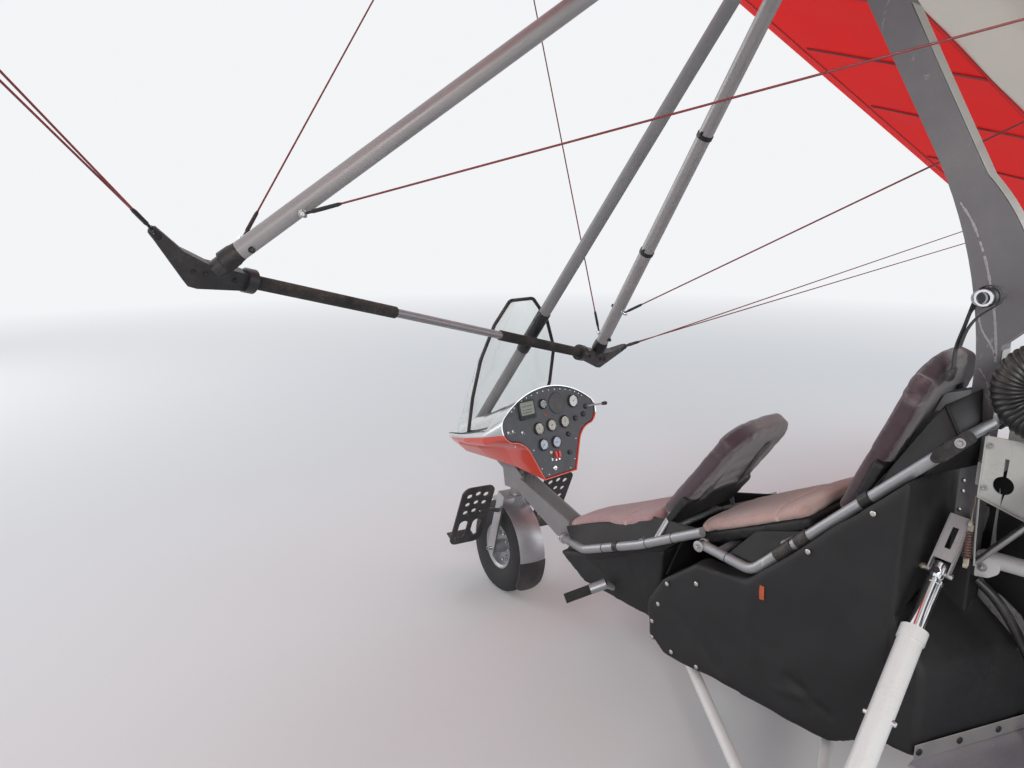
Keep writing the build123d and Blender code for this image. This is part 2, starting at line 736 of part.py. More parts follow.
def screen_hoop():
    """Black edging tube round the screen."""
    side = [screen_arc(row, 0)[0] for row in SCREEN_ROWS]
    side.append((SCREEN_TOP_HALF, SCREEN_TOP[0] + 8, SCREEN_TOP[1]))
    other = [(-x, y, z) for x, y, z in reversed(side)]
    tube = bent_rod([(x, y + 2, z) for x, y, z in side + other], HOOP_BENDS, HOOP_RADIUS)
    return [tube - screen_sheet() - pod_outside()]


# Seats
def seat_frame_front():
    """Side tubes, a cross tube and the backrest's hoop for the front seat."""
    path = [(58, -1391, 386), (196, -1152, 462), (222, -887, 580), (222, -655, 700)]
    tube = bent_rod(path, [140, 200], SEAT_TUBE_RADIUS)
    side, other = both_sides(tube - cross_pin(30, 30 + KNEE_BOLT_REACH, *KNEE, 12))
    cross = cross_pin(-222, 222, -880, 591, 12)
    return [side + other + cross + backrest_hoop(HOOP_TUBE_RADIUS)]


def backrest_hoop(radius):
    """Hoop inside the front backrest, from one side tube to the other."""
    half = [(218, -822, 622.6), (150, -805, 715), (150, -633, 959)]
    other = [(-x, y, z) for x, y, z in reversed(half)]
    return bent_rod(half + other, [60, 50, 50, 60], radius)


def seat_frame_rear():
    """Bent side tubes from the mast's cross tube down and forward round the rear seat."""
    path = [(200, 5, 1140), (250, -470, 655), (226, -640, 662)]
    side, other = both_sides(bent_rod(path, [60], SEAT_TUBE_RADIUS))
    low = cross_pin(-230, 230, -600, 654, 12)
    high = cross_pin(-240, 240, -385, 758.7, 12)
    return [side + other + low + high]


def cross_tubes():
    """Tubes across the mast that carry the seat's sides and the harness."""
    harness = rod((-170, -20, 1450), (170, -20, 1450), 17, 4)
    seat_bar = cross_pin(-184.7, 184.7, 2, 1140, 13)
    mast_hole = block((-MAST_HALF, -200, 1000), (MAST_HALF, 200, 1600))
    stay = side_plate([(-150, 1140), (-150, 1180), (MAST_FRONT_Y, 1215), (MAST_FRONT_Y, 1165)], -30, 30)
    stay -= rear_backrest()[0]
    return [*(harness - mast_hole).solids(), *(seat_bar - mast_hole).solids(), stay]


# Pads: name, front y, front z, back y, back z (top middle line), thickness, front half, back half
def pad(front, back, thick, front_half, back_half, front_corner, back_corner):
    """Slab pad whose top runs between two (y, z) points, with rounded corners."""
    run = hypot(back[0] - front[0], back[1] - front[1])
    rise = degrees(atan2(back[1] - front[1], back[0] - front[0]))
    outline = Polyline(
        (-front_half, 0), (front_half, 0), (back_half, run * 0.55), (back_half, run),
        (-back_half, run), (-back_half, run * 0.55), close=True,
    )
    slab = extrude(make_face(outline), amount=-thick)
    uprights = slab.edges().filter_by(Axis.Z).sort_by(Axis.Y)
    slab = fillet(uprights[:2], front_corner)
    slab = fillet(slab.edges().filter_by(Axis.Z).sort_by(Axis.Y)[-2:], back_corner)
    return Pos(0, *front) * Rot(rise, 0, 0) * slab


def front_cushion():
    return [pad((-1340, 478), (-862, 672), 56, 125, 186, 70, 25)]


def front_backrest():
    back = pad((-858, 690), (-612, 1040), 58, 188, 176, 30, 110)
    return [back - backrest_hoop(HOOP_TUBE_RADIUS + SKIN_GAP)]


def rear_cushion():
    return [pad((-742, 672), (-352, 862), 66, 176, 200, 60, 25)]


def rear_backrest():
    return [pad((-298, 862), (-118, 1325), 56, 190, 196, 30, 130)]


# Fairing's outline in side view, from the rear top round to the front bottom: y, z
FAIRING_TOP = [
    (FAIRING_REAR_Y, 1032.5), (-470, 632), (-560, 618), (-640, 618), (-762, 520),
    (-812, 430), (-800, 320), (-740, 272),
]


def tail_outline(grow, front_y):
    """Plan of the fairing's pointed tail, grown outward: from a line ahead to the point aft."""
    half = FAIRING_HALF + grow
    side_y = TAIL_SIDE_Y + 0.65 * grow
    point_y = TAIL_POINT_Y + 1.08 * grow
    return [(half, front_y), (half, side_y), (0, point_y), (-half, side_y), (-half, front_y)]


def tail(inset, front_y):
    """Tail that sinks from the fairing's back to a point on the tray, behind the mast's foot."""
    low = TRAY_TOP + SKIN_GAP + inset
    knee = TRAY_TOP + SKIN_GAP + TAIL_LIP
    plan = tail_outline(-inset, front_y)
    top_y = FAIRING_REAR_Y - inset
    top = [(x, min(y, top_y)) for x, y in plan]
    foot = make_face(Polyline(*plan, close=True))
    head = make_face(Polyline(*top, close=True))
    skirt = extrude(Plane.XY.offset(low) * foot, amount=knee - low)
    return skirt + loft([Plane.XY.offset(knee) * foot, Plane.XY.offset(FAIRING_STEP_Z) * head], ruled=True)


def fairing():
    """Black body round the rear seat's underside, open along the top, with a pointed tail."""
    outline = [*FAIRING_TOP, (-200, FAIRING_FLOOR), (FAIRING_REAR_Y, TRAY_TOP + SKIN_GAP)]
    outer = side_plate(outline, -FAIRING_HALF, FAIRING_HALF)
    face = make_face(Polyline(*outline, close=True))
    inner_face = offset(face, amount=-FAIRING_WALL)
    inner = extrude(Plane.YZ * inner_face, amount=FAIRING_HALF - FAIRING_WALL, both=True)
    mouth = [(-90, 1200), (-90, 880), (-420, 560), (-560, 560), (-720, 420), (-900, 1200)]
    shell = outer + tail(0, FAIRING_REAR_Y - 30) - inner - tail(FAIRING_WALL, FAIRING_REAR_Y - 40)
    mast_low = (-MAST_HALF - 2, MAST_FRONT_Y - 2, KEEL_HIGH)
    mast_high = (MAST_HALF + 2, MAST_BACK_Y + 2, FAIRING_STEP_Z)
    return [shell - side_plate(mouth, -200, 200) - block(mast_low, mast_high)]


def front_belly():
    """Black cloth slung under the front seat."""
    outline = [(-1300, 398), (-1180, 318), (-830, 300), (-830, 560), (-880, 556), (-1150, 440)]
    outer = side_plate(outline, -170, 170)
    face = make_face(Polyline(*outline, close=True))
    inner = extrude(Plane.YZ * offset(face, amount=-4), amount=166, both=True)
    keel_slot = block((-30, -1400, 200), (30, -820, 420))
    mouth = [
        (-1310, 402), (-1150, 446), (-880, 562), (-826, 562),
        (-826, 540), (-880, 536), (-1150, 420), (-1270, 390),
    ]
    top = side_plate(mouth, -140, 140)
    return [outer - inner - keel_slot - top - foot_pegs()[0] - foot_pegs()[1]]


def engine_tray():
    """Tray on folded webs along the keel, with a strip that the fairing is riveted to."""
    floor_z = TRAY_TOP - TRAY_WALL
    sheet = block((-TRAY_HALF, MAST_BACK_Y + 4, floor_z), (TRAY_HALF, TRAY_TAIL_Y, TRAY_TOP))
    for x in (-KEEL_HALF, KEEL_HALF - TRAY_WALL):
        sheet += block((x, MAST_BACK_Y + 10, KEEL_HIGH + SKIN_GAP), (x + TRAY_WALL, TRAY_TAIL_Y, floor_z))
    near = make_face(Polyline(*tail_outline(SKIN_GAP, 0), close=True))
    far = make_face(Polyline(*tail_outline(SKIN_GAP + STRIP_WALL, 0), close=True))
    strip = extrude(Plane.XY.offset(floor_z) * (far - near), amount=STRIP_HEIGHT)
    return [sheet + (strip & block((-TRAY_HALF, TAIL_SIDE_Y, floor_z), (TRAY_HALF, 200, FAIRING_STEP_Z)))]


def foot_pegs():
    """Rubber-covered rests for the passenger's feet."""
    peg = rod((KEEL_HALF, -1010, 262), (200, -1050, 372), 11)
    peg += rod((196, -1048, 370), (310, -1130, 322), 17)
    peg -= block((-KEEL_HALF, -1200, KEEL_LOW), (KEEL_HALF, -900, KEEL_HIGH + 60))
    return both_sides(peg)


# Engine, exhaust and propeller
def crankcase():
    """Crankcase with the gearbox at its back."""
    case = block((-105, 150, CRANK_Z - 120), (105, 560, CRANK_Z + 120))
    gearbox = block((-80, 560, CRANK_Z - 60), (80, 700, PROP_Z + 75))
    airbox = block((10, 262, CRANK_Z + 120), (165, 400, 1400))
    bore = rod((0, SHAFT_START_Y, PROP_Z), (0, 760, PROP_Z), PROP_SHAFT_RADIUS + RUNNING_GAP)
    return [case + gearbox + airbox - bore]


def cylinder_head(side, y):
    near, far = sorted((side * 248, side * 330))
    return block((near, y - 74, CRANK_Z - 66), (far, y + 74, CRANK_Z + 66))


def cylinders():
    """Two opposed finned cylinders, each with its head."""
    pieces = []
    for side, y in CYLINDERS:
        barrel = cross_pin(side * 105, side * 300, y, CRANK_Z, 48)
        for k in range(FIN_COUNT):
            middle = side * (124 + FIN_PITCH * k)
            barrel += block((middle - 2, y - 78, CRANK_Z - 72), (middle + 2, y + 78, CRANK_Z + 72))
        pieces.append(barrel + cylinder_head(side, y))
    return pieces


def engine_mount():
    """Mount plates and tubes between mast and engine."""
    plate = side_plate([(30, 1120), (150, 1120), (150, 900), (60, 900), (0, 1000), (0, 1060)], 92, 97)
    plate -= cross_pin(50, 200, 85, 1040, 22) + block((50, 80, 1040), (200, 90, 1092))
    port, starboard = both_sides(plate)
    front = block((-93, MAST_BACK_Y, CRANK_Z - 30), (93, MAST_BACK_Y + 24, CRANK_Z + 30))
    web = block((-93, 120, CRANK_Z - 30), (93, 150, CRANK_Z + 30))
    post = block((-20, 380, LOW_TUBE_Z), (20, 430, CRANK_Z - 120))
    return [port + starboard + front + web, low_tube() + post]


def low_tube():
    """Tube from the mast's foot back under the engine."""
    return rod((0, MAST_BACK_Y, LOW_TUBE_Z), (0, 430, LOW_TUBE_Z), 20)


def intake_duct():
    """Corrugated cooling hose looped beside the mast."""
    path = [(110, 262, 1342), (110, 74, 1342), (110, 74, 1166), (110, 150, 1166)]
    return [bent_rod(path, [70, 70], 42)]


def exhaust():
    """Silencer under the engine with its pipes."""
    can = cross_pin(-210, 210, 330, 640, 75) - cross_pin(-207, 207, 330, 640, 72)
    can += rod((150, 395, 600), (150, 470, 585), 20)
    can -= rod((150, 370, 605), (150, 480, 583), 17)
    for side, y in CYLINDERS:
        can += rod((side * 285, y, CRANK_Z - 60), (side * 180, 330, 690), 18)
        can -= cylinder_head(side, y)
    can += rod((0, 330, 700), (0, 400, LOW_TUBE_Z), 12)
    return [can - low_tube()]


# Blade sections: distance from the axis, chord, thickness, angle to the disc in degrees
BLADE_SECTIONS = [
    (HUB_RADIUS - 10, 70, 26, 40),
    (300, 112, 16, 24),
    (600, 92, 11, 15),
    (PROP_RADIUS, 56, 7, 11),
]


def blade_section(reach, chord, thick, angle):
    """Lens section of a blade, fuller towards its leading edge."""
    turn = radians(angle)
    seat = Plane(origin=(0, 0, reach), x_dir=(cos(turn), sin(turn), 0), z_dir=(0, 0, 1))
    crest = -0.1 * chord
    return seat * make_face([
        ThreePointArc((-chord / 2, 0), (crest, thick / 2), (chord / 2, 0)),
        ThreePointArc((chord / 2, 0), (crest, -thick / 2), (-chord / 2, 0)),
    ])


def propeller():
    """Twisted blades, evenly round the hub."""
    blade = loft([blade_section(*row) for row in BLADE_SECTIONS], ruled=True)
    return [Pos(0, PROP_Y, PROP_Z) * Rot(0, 360 / BLADES * k, 0) * blade for k in range(BLADES)]


def prop_hub():
    """Hub, spinner and drive shaft."""
    hub = Pos(0, PROP_Y - 10, PROP_Z) * Rot(90, 0, 0) * Cylinder(HUB_RADIUS, 90)
    cap = Pos(0, PROP_Y + 70, PROP_Z) * Rot(-90, 0, 0) * Cone(HUB_RADIUS, 20, 70)
    shaft = rod((0, SHAFT_START_Y + 5, PROP_Z), (0, PROP_Y - 50, PROP_Z), PROP_SHAFT_RADIUS)
    body = hub + cap + shaft
    for blade in propeller():
        body -= blade
    return [body]


# Wing
def lay(shapes):
    """Move pieces drawn in the wing's frame to where the wing lies."""
    seat = wing_frame().location
    return [seat * shape for shape in shapes]


def hang_block():
    """Collar on the wing's keel tube with two cheeks for the hang bolt."""
    seat = hang_frame().location * Pos(0, HANG_Y, 0)
    collar = Rot(90, 0, 0) * Cylinder(HANG_COLLAR_RADIUS, HANG_COLLAR_LENGTH)
    inner = LUG_HALF + 1
    for side in (1, -1):
        cheek = block((min(side * inner, side * (inner + HANG_CHEEK)), -22, -HANG_DROP - 20),
                      (max(side * inner, side * (inner + HANG_CHEEK)), 22, -30))
        collar += cheek
    collar -= Rot(90, 0, 0) * Cylinder(WING_KEEL_RADIUS + RUNNING_GAP, 2 * HANG_COLLAR_LENGTH)
    collar -= rod((-60, 0, -HANG_DROP), (60, 0, -HANG_DROP), HANG_BOLT_RADIUS + RUNNING_GAP)
    return [seat * collar]


def wing_keel():
    """Keel tube with its stop rings each side of the hang block."""
    tube = rod((0, WING_NOSE_Y, 0), (0, WING_TAIL_Y, 0), WING_KEEL_RADIUS, WING_KEEL_WALL)
    half = HANG_COLLAR_LENGTH / 2 + 1
    for y in (HANG_Y - half - 8, HANG_Y + half):
        tube += rod((0, y, 0), (0, y + 8, 0), WING_KEEL_RADIUS + 6, 7)
    return lay([tube])


def upright_point(side, z):
    """Point on an upright's centreline at a height in the wing's frame."""
    share = (APEX_Z - z) / (APEX_Z - BAR_Z)
    return (side * BAR_HALF * share, APEX_Y + (BAR_Y - APEX_Y) * share, z)


def upright(side):
    top, low = upright_point(side, UPRIGHT_TOP_Z), upright_point(side, UPRIGHT_LOW_Z)
    return rod(top, low, UPRIGHT_RADIUS, UPRIGHT_WALL)


def uprights():
    """Both round legs of the control frame."""
    return lay([upright(1), upright(-1)])


def apex_bracket():
    """Saddle that hangs the uprights from the keel tube."""
    top = block((-58, 16, -46), (58, 52, -WING_KEEL_RADIUS - SKIN_GAP))
    for side in (1, -1):
        top -= rod(upright_point(side, 0), upright_point(side, -200), UPRIGHT_RADIUS + 0.1)
    strap = block((-36, 18, -40), (36, 50, 36)) - rod((0, -100, 0), (0, 200, 0), WING_KEEL_RADIUS + 0.1)
    saddle = strap + top
    for side in (1, -1):
        saddle += rod(upright_point(side, -31), upright_point(side, -90), UPRIGHT_RADIUS - UPRIGHT_WALL - 0.1)
    return lay([saddle])


def base_bar():
    """Bar across the bottom of the control frame."""
    return lay([rod((-BAR_HALF + 20, BAR_Y, BAR_Z), (BAR_HALF - 20, BAR_Y, BAR_Z), BAR_RADIUS, 2)])


def bar_grips():
    """Foam grips at both ends of the bar."""
    pieces = []
    for side in (1, -1):
        near = (side * (BAR_HALF - COLLAR_FAR - 1), BAR_Y, BAR_Z)
        far = (side * (BAR_HALF - COLLAR_FAR - 1 - GRIP_LENGTH), BAR_Y, BAR_Z)
        pieces.append(rod(near, far, GRIP_RADIUS, GRIP_RADIUS - BAR_RADIUS))
    return lay(pieces)


# Corner plate in front view: x outboard of the bar's half length, z above the bar
CORNER_OUTLINE = [
    (-96, -24), (28, -44), (52, -42), (166, 54), (175, 82),
    (156, 78), (90, 44), (18, 26), (-80, 24), (-96, 22),
]


def corner_plate(side):
    """Boomerang plate from the bar's end out to the side wires, thinner at its tip."""
    outline = [(side * (BAR_HALF + x), BAR_Z + z) for x, z in CORNER_OUTLINE]
    plate = front_plate(outline, BAR_Y - CORNER_HALF, BAR_Y + CORNER_HALF)
    plan = [(-100, CORNER_HALF), (56, CORNER_HALF), (180, CORNER_TIP_HALF)]
    plan += [(x, -y) for x, y in reversed(plan)]
    taper = make_face(Polyline(*[(side * (BAR_HALF + x), BAR_Y + y) for x, y in plan], close=True))
    return plate & extrude(Plane.XY.offset(BAR_Z) * taper, amount=200, both=True)


def corner_brackets():
    """Brackets that join bar, uprights and side wires at both corners, each with a round collar."""
    pieces = []
    for side in (1, -1):
        near, far = (side * (BAR_HALF - reach) for reach in (COLLAR_NEAR, COLLAR_FAR))
        collar = rod((near, BAR_Y, BAR_Z), (far, BAR_Y, BAR_Z), COLLAR_RADIUS)
        low, high = upright_point(side, BAR_Z + 12), upright_point(side, BAR_Z + 110)
        plug = rod(low, high, UPRIGHT_RADIUS - UPRIGHT_WALL)
        socket = rod((far - side, BAR_Y, BAR_Z), (side * (BAR_HALF - 20), BAR_Y, BAR_Z), BAR_RADIUS)
        pieces.append(corner_plate(side) + collar + plug - socket)
    return lay(pieces)


def leading_edge(s):
    """Centre of the leading-edge tube at a span station, in the wing's frame."""
    return (s, WING_NOSE_Y + 20 + s * tan(radians(SWEEP)), -s * tan(radians(DROOP)))


def nose_radius(s):
    return NOSE_TUBE_ROOT + (NOSE_TUBE_TIP - NOSE_TUBE_ROOT) * s / HALF_SPAN


def chord(s):
    return ROOT_CHORD + (TIP_CHORD - ROOT_CHORD) * s / HALF_SPAN


def sail_points(s, inset):
    """Named points of the sail's section at a span station, inside the outer skin by the inset."""
    _, nose_y, nose_z = leading_edge(s)
    c = chord(s)
    r = nose_radius(s) - inset
    crest = (nose_y + CREST * c, nose_z + CAMBER * c + nose_radius(s) - inset)
    rise = (nose_y + 0.10 * c, nose_z + 0.80 * CAMBER * c + nose_radius(s) * 0.9 - inset)
    tail = (nose_y + c, nose_z + 0.012 * c)
    share = (DOUBLE_SHARE - CREST) / (1 - CREST)
    join = (nose_y + DOUBLE_SHARE * c, crest[1] + (tail[1] - crest[1]) * share - SAIL_WALL + inset)
    return nose_y, nose_z, r, crest, rise, tail, join


def sail_section(side, s):
    nose_y, nose_z, r, crest, rise, tail, join = sail_points(s, 0)
    ring = [
        ThreePointArc((nose_y, nose_z - r), (nose_y - r, nose_z), (nose_y, nose_z + r)),
        ThreePointArc((nose_y, nose_z + r), rise, crest),
        Line(crest, tail),
        Line(tail, (tail[0], tail[1] - SAIL_WALL)),
        Line((tail[0], tail[1] - SAIL_WALL), join),
        Line(join, (nose_y, nose_z - r)),
    ]
    return Plane.YZ.offset(side * s) * make_face(ring)


def sail_hollow(side, s):
    nose_y, nose_z, r, crest, rise, tail, join = sail_points(s, SAIL_WALL)
    back = (join[0] - 60, join[1] - 2)
    ring = [
        ThreePointArc((nose_y, nose_z - r), (nose_y - r, nose_z), (nose_y, nose_z + r)),
        ThreePointArc((nose_y, nose_z + r), rise, crest),
        Line(crest, (back[0], back[1])),
        Line((back[0], back[1]), (nose_y, nose_z - r)),
    ]
    return Plane.YZ.offset(side * s) * make_face(ring)


def sail(side):
    """One half of the double-surface sail, hollow between its skins."""
    outer = loft([sail_section(side, s) for s in SAIL_STATIONS], ruled=True)
    inner = loft([sail_hollow(side, s) for s in (*SAIL_STATIONS[:-1], HALF_SPAN - 12)], ruled=True)
    return lay([outer - inner])


def keel_pocket():
    """Fabric pocket over the keel tube, between the sail's halves."""
    nose_y, nose_z, r, crest, rise, tail, join = sail_points(0, 0)
    floor = WING_KEEL_RADIUS + SKIN_GAP
    ring = [
        Line((nose_y + 10, floor), (nose_y + 10, nose_z + r + 6)),
        ThreePointArc((nose_y + 10, nose_z + r + 6), rise, crest),
        Line(crest, (tail[0] - 20, tail[1] + 12)),
        Line((tail[0] - 20, tail[1] + 12), (tail[0] - 20, floor)),
        Line((tail[0] - 20, floor), (nose_y + 10, floor)),
    ]
    half = SAIL_ROOT_X - SKIN_GAP
    body = extrude(Plane.YZ * make_face(ring), amount=half, both=True)
    body -= block((-60, 14, 0), (60, 56, 40))
    body -= block((-60, HANG_Y - 62, 0), (60, HANG_Y + 62, 62))
    return lay([body - rod((0, KINGPOST_Y, 0), (0, KINGPOST_Y, 900), KINGPOST_RADIUS + SKIN_GAP)])


def nose_cone():
    """Nose plates that join both leading edges to the keel."""
    plate = block((-34, WING_NOSE_Y - 6, -44), (34, WING_NOSE_Y + 120, -WING_KEEL_RADIUS))
    tang = block((-4, WING_NOSE_Y - 10, WING_KEEL_RADIUS), (4, WING_NOSE_Y + 15, 66))
    return lay([plate, tang])


def frame_wire(side, z, way, end):
    """Wire from a bolt on an upright, ahead of it (-1) or behind it (1), to the keel tube."""
    x, y, z = upright_point(side, z)
    bolt = rod((x, y, z), (x, y + way * (WIRE_BOLT_REACH + 7), z), WIRE_BOLT_RADIUS)
    tube = rod(upright_point(side, z + 60), upright_point(side, z - 60), UPRIGHT_RADIUS + SKIN_GAP)
    return rod((x, y + way * WIRE_BOLT_REACH, z), end, WIRE_RADIUS) + bolt - tube


def side_wires(side):
    """Wires from a corner plate's tip out to the leading edge."""
    pieces = []
    for k, s in enumerate(SIDE_WIRE_STATIONS):
        start = (side * (BAR_HALF + TIP_REACH), BAR_Y + 8 * k - 4, BAR_Z + TIP_RISE)
        x, y, z = leading_edge(s)
        seat = z - nose_radius(s) - 0.6
        stud = rod((side * x, y, seat), (side * x, y, seat - 12), STUD_RADIUS)
        pieces.append(rod(start, (side * x, y, seat - 8), WIRE_RADIUS) + stud - corner_plate(side))
    return pieces


def lower_wires():
    """Flying wires from the control frame to the keel and the leading edges."""
    pieces = []
    for side in (1, -1):
        pieces.append(frame_wire(side, FRONT_WIRE_Z, -1, (side * 8, WING_NOSE_Y + 60, -48)))
        pieces.append(frame_wire(side, REAR_WIRE_Z, 1, (side * 8, 1180, -WING_KEEL_RADIUS - 3)))
        pieces += side_wires(side)
    return lay(pieces)


def kingpost():
    """Post that carries the ground wires above the sail."""
    foot = WING_KEEL_RADIUS + SKIN_GAP
    return lay([rod((0, KINGPOST_Y, foot), (0, KINGPOST_Y, KINGPOST_TOP), KINGPOST_RADIUS)])


def upper_wires():
    """Ground wires from the kingpost's top to the nose, the tail and both leading edges."""
    top = (0, KINGPOST_Y, KINGPOST_TOP - 20)
    post = rod((0, KINGPOST_Y, 0), (0, KINGPOST_Y, KINGPOST_TOP), KINGPOST_RADIUS)
    s = SIDE_WIRE_STATIONS[0]
    x, y, z = leading_edge(s)
    y += CREST * chord(s)
    z += CAMBER * chord(s) + nose_radius(s) + 1
    pieces = []
    for side in (1, -1):
        stud = rod((side * x, y, z), (side * x, y, z + 14), STUD_RADIUS)
        pieces.append(rod(top, (side * x, y, z + 9), WIRE_RADIUS) + stud - post)
    pieces.append(rod(top, (0, WING_NOSE_Y + 2, 70), WIRE_RADIUS) - post)
    pieces.append(rod(top, (0, WING_TAIL_Y - 90, WING_KEEL_RADIUS + 3), WIRE_RADIUS) - post)
    return lay(pieces)


def rigging():
    """All wires of the wing with the nose plate."""
    return lower_wires() + nose_cone() + upper_wires()


NODES = {
    "keel_beam": keel_beam,
    "nose_beam": nose_beam,
    "mast": mast,
    "mast_head": mast_head,
    "front_strut": front_strut,
    "strut_sleeve": strut_sleeve,
    "steering_head": steering_head,
    "gear_arms": gear_arms,
    "axles": axles,
    "leg_rods": leg_rods,
    "leg_tubes": leg_tubes,
    "leg_brackets": leg_brackets,
    "nose_fork": nose_fork,
    "nose_guard": nose_guard,
    "guard_flap": guard_flap,
    "pedals": pedals,
    "port_rim": lambda: main_rim(1),
    "port_tyre": lambda: main_tyre(1),
    "starboard_rim": lambda: main_rim(-1),
    "starboard_tyre": lambda: main_tyre(-1),
    "nose_rim": nose_rim,
    "nose_tyre": nose_tyre,
    "pod_shell": pod_shell,
    "pod_cap": pod_cap,
    "instrument_panel": instrument_panel,
    "instruments": instruments,
    "windscreen": windscreen,
    "screen_hoop": screen_hoop,
    "seat_frame_front": seat_frame_front,
    "seat_frame_rear": seat_frame_rear,
    "cross_tubes": cross_tubes,
    "front_cushion": front_cushion,
    "front_backrest": front_backrest,
    "rear_cushion": rear_cushion,
    "rear_backrest": rear_backrest,
    "fairing": fairing,
    "front_belly": front_belly,
    "engine_tray": engine_tray,
    "foot_pegs": foot_pegs,
    "crankcase": crankcase,
    "cylinders": cylinders,
    "engine_mount": engine_mount,
    "intake_duct": intake_duct,
    "exhaust": exhaust,
    "prop_blades": propeller,
    "prop_hub": prop_hub,
    "hang_block": hang_block,
    "wing_keel": wing_keel,
    "uprights": uprights,
    "apex_bracket": apex_bracket,
    "base_bar": base_bar,
    "bar_grips": bar_grips,
    "corner_brackets": corner_brackets,
    "port_sail": lambda: sail(1),
    "starboard_sail": lambda: sail(-1),
    "keel_pocket": keel_pocket,
    "kingpost": kingpost,
    "rigging": rigging,
}


def write_parts():
    """Write each sub-part to its own file, moved to the aircraft's origin."""
    os.makedirs("parts", exist_ok=True)
    for name, make in NODES.items():
        solids = [solid for shape in make() for solid in shape.solids()]
        placed = [Pos(-ORIGIN_X, -ORIGIN_Y, 0) * solid for solid in solids]
        export_step(Compound(children=placed), os.path.join("parts", name + ".step"))


write_parts()
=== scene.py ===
# %% [markdown]
# A two-seat weight-shift microlight trike, parked with its wing rolled over to starboard.
# The CAD model is loaded first and never moved. Everything made here is fitted to it.

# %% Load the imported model
import math
import random

import bmesh
import bpy
import numpy as np
from mathutils import Matrix, Vector


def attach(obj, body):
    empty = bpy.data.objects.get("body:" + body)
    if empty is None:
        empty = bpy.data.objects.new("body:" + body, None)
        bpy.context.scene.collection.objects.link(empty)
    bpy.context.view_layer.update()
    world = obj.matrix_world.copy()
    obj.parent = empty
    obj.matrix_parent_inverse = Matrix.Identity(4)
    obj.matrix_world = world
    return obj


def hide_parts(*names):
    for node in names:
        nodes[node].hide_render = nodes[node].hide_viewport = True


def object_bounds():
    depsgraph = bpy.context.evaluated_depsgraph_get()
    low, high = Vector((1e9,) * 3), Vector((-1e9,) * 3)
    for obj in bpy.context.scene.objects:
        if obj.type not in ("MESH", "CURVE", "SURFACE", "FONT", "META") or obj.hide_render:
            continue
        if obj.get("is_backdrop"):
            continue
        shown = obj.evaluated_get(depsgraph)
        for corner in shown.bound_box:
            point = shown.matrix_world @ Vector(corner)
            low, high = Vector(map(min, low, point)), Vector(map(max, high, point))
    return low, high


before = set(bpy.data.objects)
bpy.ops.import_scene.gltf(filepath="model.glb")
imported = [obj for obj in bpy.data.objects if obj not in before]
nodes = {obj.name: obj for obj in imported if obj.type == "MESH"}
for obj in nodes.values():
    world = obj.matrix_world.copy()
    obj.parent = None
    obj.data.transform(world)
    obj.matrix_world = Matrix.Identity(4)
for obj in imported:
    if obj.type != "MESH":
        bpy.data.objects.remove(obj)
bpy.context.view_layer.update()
scene = bpy.context.scene

# %% [markdown]
# Two rulers. The trike was drawn in millimetres from the ground between its main wheels,
# so `at` turns such a point into the model's own metres. The wing was drawn flat, along its
# keel tube, and then laid over, so it has an origin and three directions of its own.

# %% Rulers
ORIGIN = Vector((84, -406, 0))
WING_PITCH = math.radians(22.1)
WING_ROLL = math.radians(16.5)


def at(x, y, z):
    return (Vector((x, y, z)) - ORIGIN) / 1000


SIDES = ((1, "port"), (-1, "starboard"))
DATUM = at(0, -501, 2601)
AFT = Vector((0, math.cos(WING_PITCH), -math.sin(WING_PITCH)))
LEVEL_UP = Vector((0, math.sin(WING_PITCH), math.cos(WING_PITCH)))
PORT = Vector((math.cos(WING_ROLL), 0, 0)) + LEVEL_UP * math.sin(WING_ROLL)
TOP = LEVEL_UP * math.cos(WING_ROLL) - Vector((math.sin(WING_ROLL), 0, 0))
print("wing datum", tuple(round(v, 3) for v in DATUM))

# %% [markdown]
# The camera stands where the photographer stood, under the port wing, and looks forward
# across the seats to the nose. A lens of 27 mm on a 36 mm sensor gives the same wide view.

# %% Camera
LOOK_SIDE = math.radians(48)
LOOK_DOWN = math.radians(13.1)
camera_data = bpy.data.cameras.new("camera")
camera_data.sensor_width = 36
camera_data.lens = 27.035
camera_data.clip_start = 0.02
camera_data.clip_end = 300
camera = bpy.data.objects.new("camera", camera_data)
scene.collection.objects.link(camera)
camera.location = at(2070, 550, 1650)
look = Vector((
    -math.cos(LOOK_SIDE) * math.cos(LOOK_DOWN),
    -math.sin(LOOK_SIDE) * math.cos(LOOK_DOWN),
    -math.sin(LOOK_DOWN),
))
camera.rotation_euler = look.to_track_quat("-Z", "Y").to_euler()
scene.camera = camera
scene.view_settings.view_transform = "Standard"
print("camera at", tuple(round(v, 3) for v in camera.location))

# %% [markdown]
# A node tree is easier to read when one line makes one node. These helpers add a node, set
# its options and wire or set its inputs by name, and mix two colours.

# %% Node helpers
def add(tree, kind, options=None, inputs=None):
    item = tree.nodes.new("ShaderNode" + kind)
    for key, value in (options or {}).items():
        setattr(item, key, value)
    for key, value in (inputs or {}).items():
        socket = item.inputs[key]
        if isinstance(value, bpy.types.NodeSocket):
            tree.links.new(value, socket)
        else:
            socket.default_value = value
    return item


def mix_color(tree, share, first, second, blend="MIX"):
    item = add(tree, "Mix", {"data_type": "RGBA", "blend_type": blend}, {0: share, 6: first, 7: second})
    return item.outputs[2]


def ramp(tree, value, low, high, bottom=0.0, top=1.0):
    item = add(tree, "MapRange", {"clamp": True}, {0: value, 1: low, 2: high, 3: bottom, 4: top})
    return item.outputs[0]


def math_node(tree, operation, first, second=0.0):
    return add(tree, "Math", {"operation": operation}, {0: first, 1: second}).outputs[0]


def object_point(tree):
    return add(tree, "TexCoord").outputs["Object"]


def rgba(color):
    return (*color, 1.0)


# %% [markdown]
# Dust, scuffs and cloth grain turn up on many finishes, so each is a group with named inputs
# that every material places with its own values.

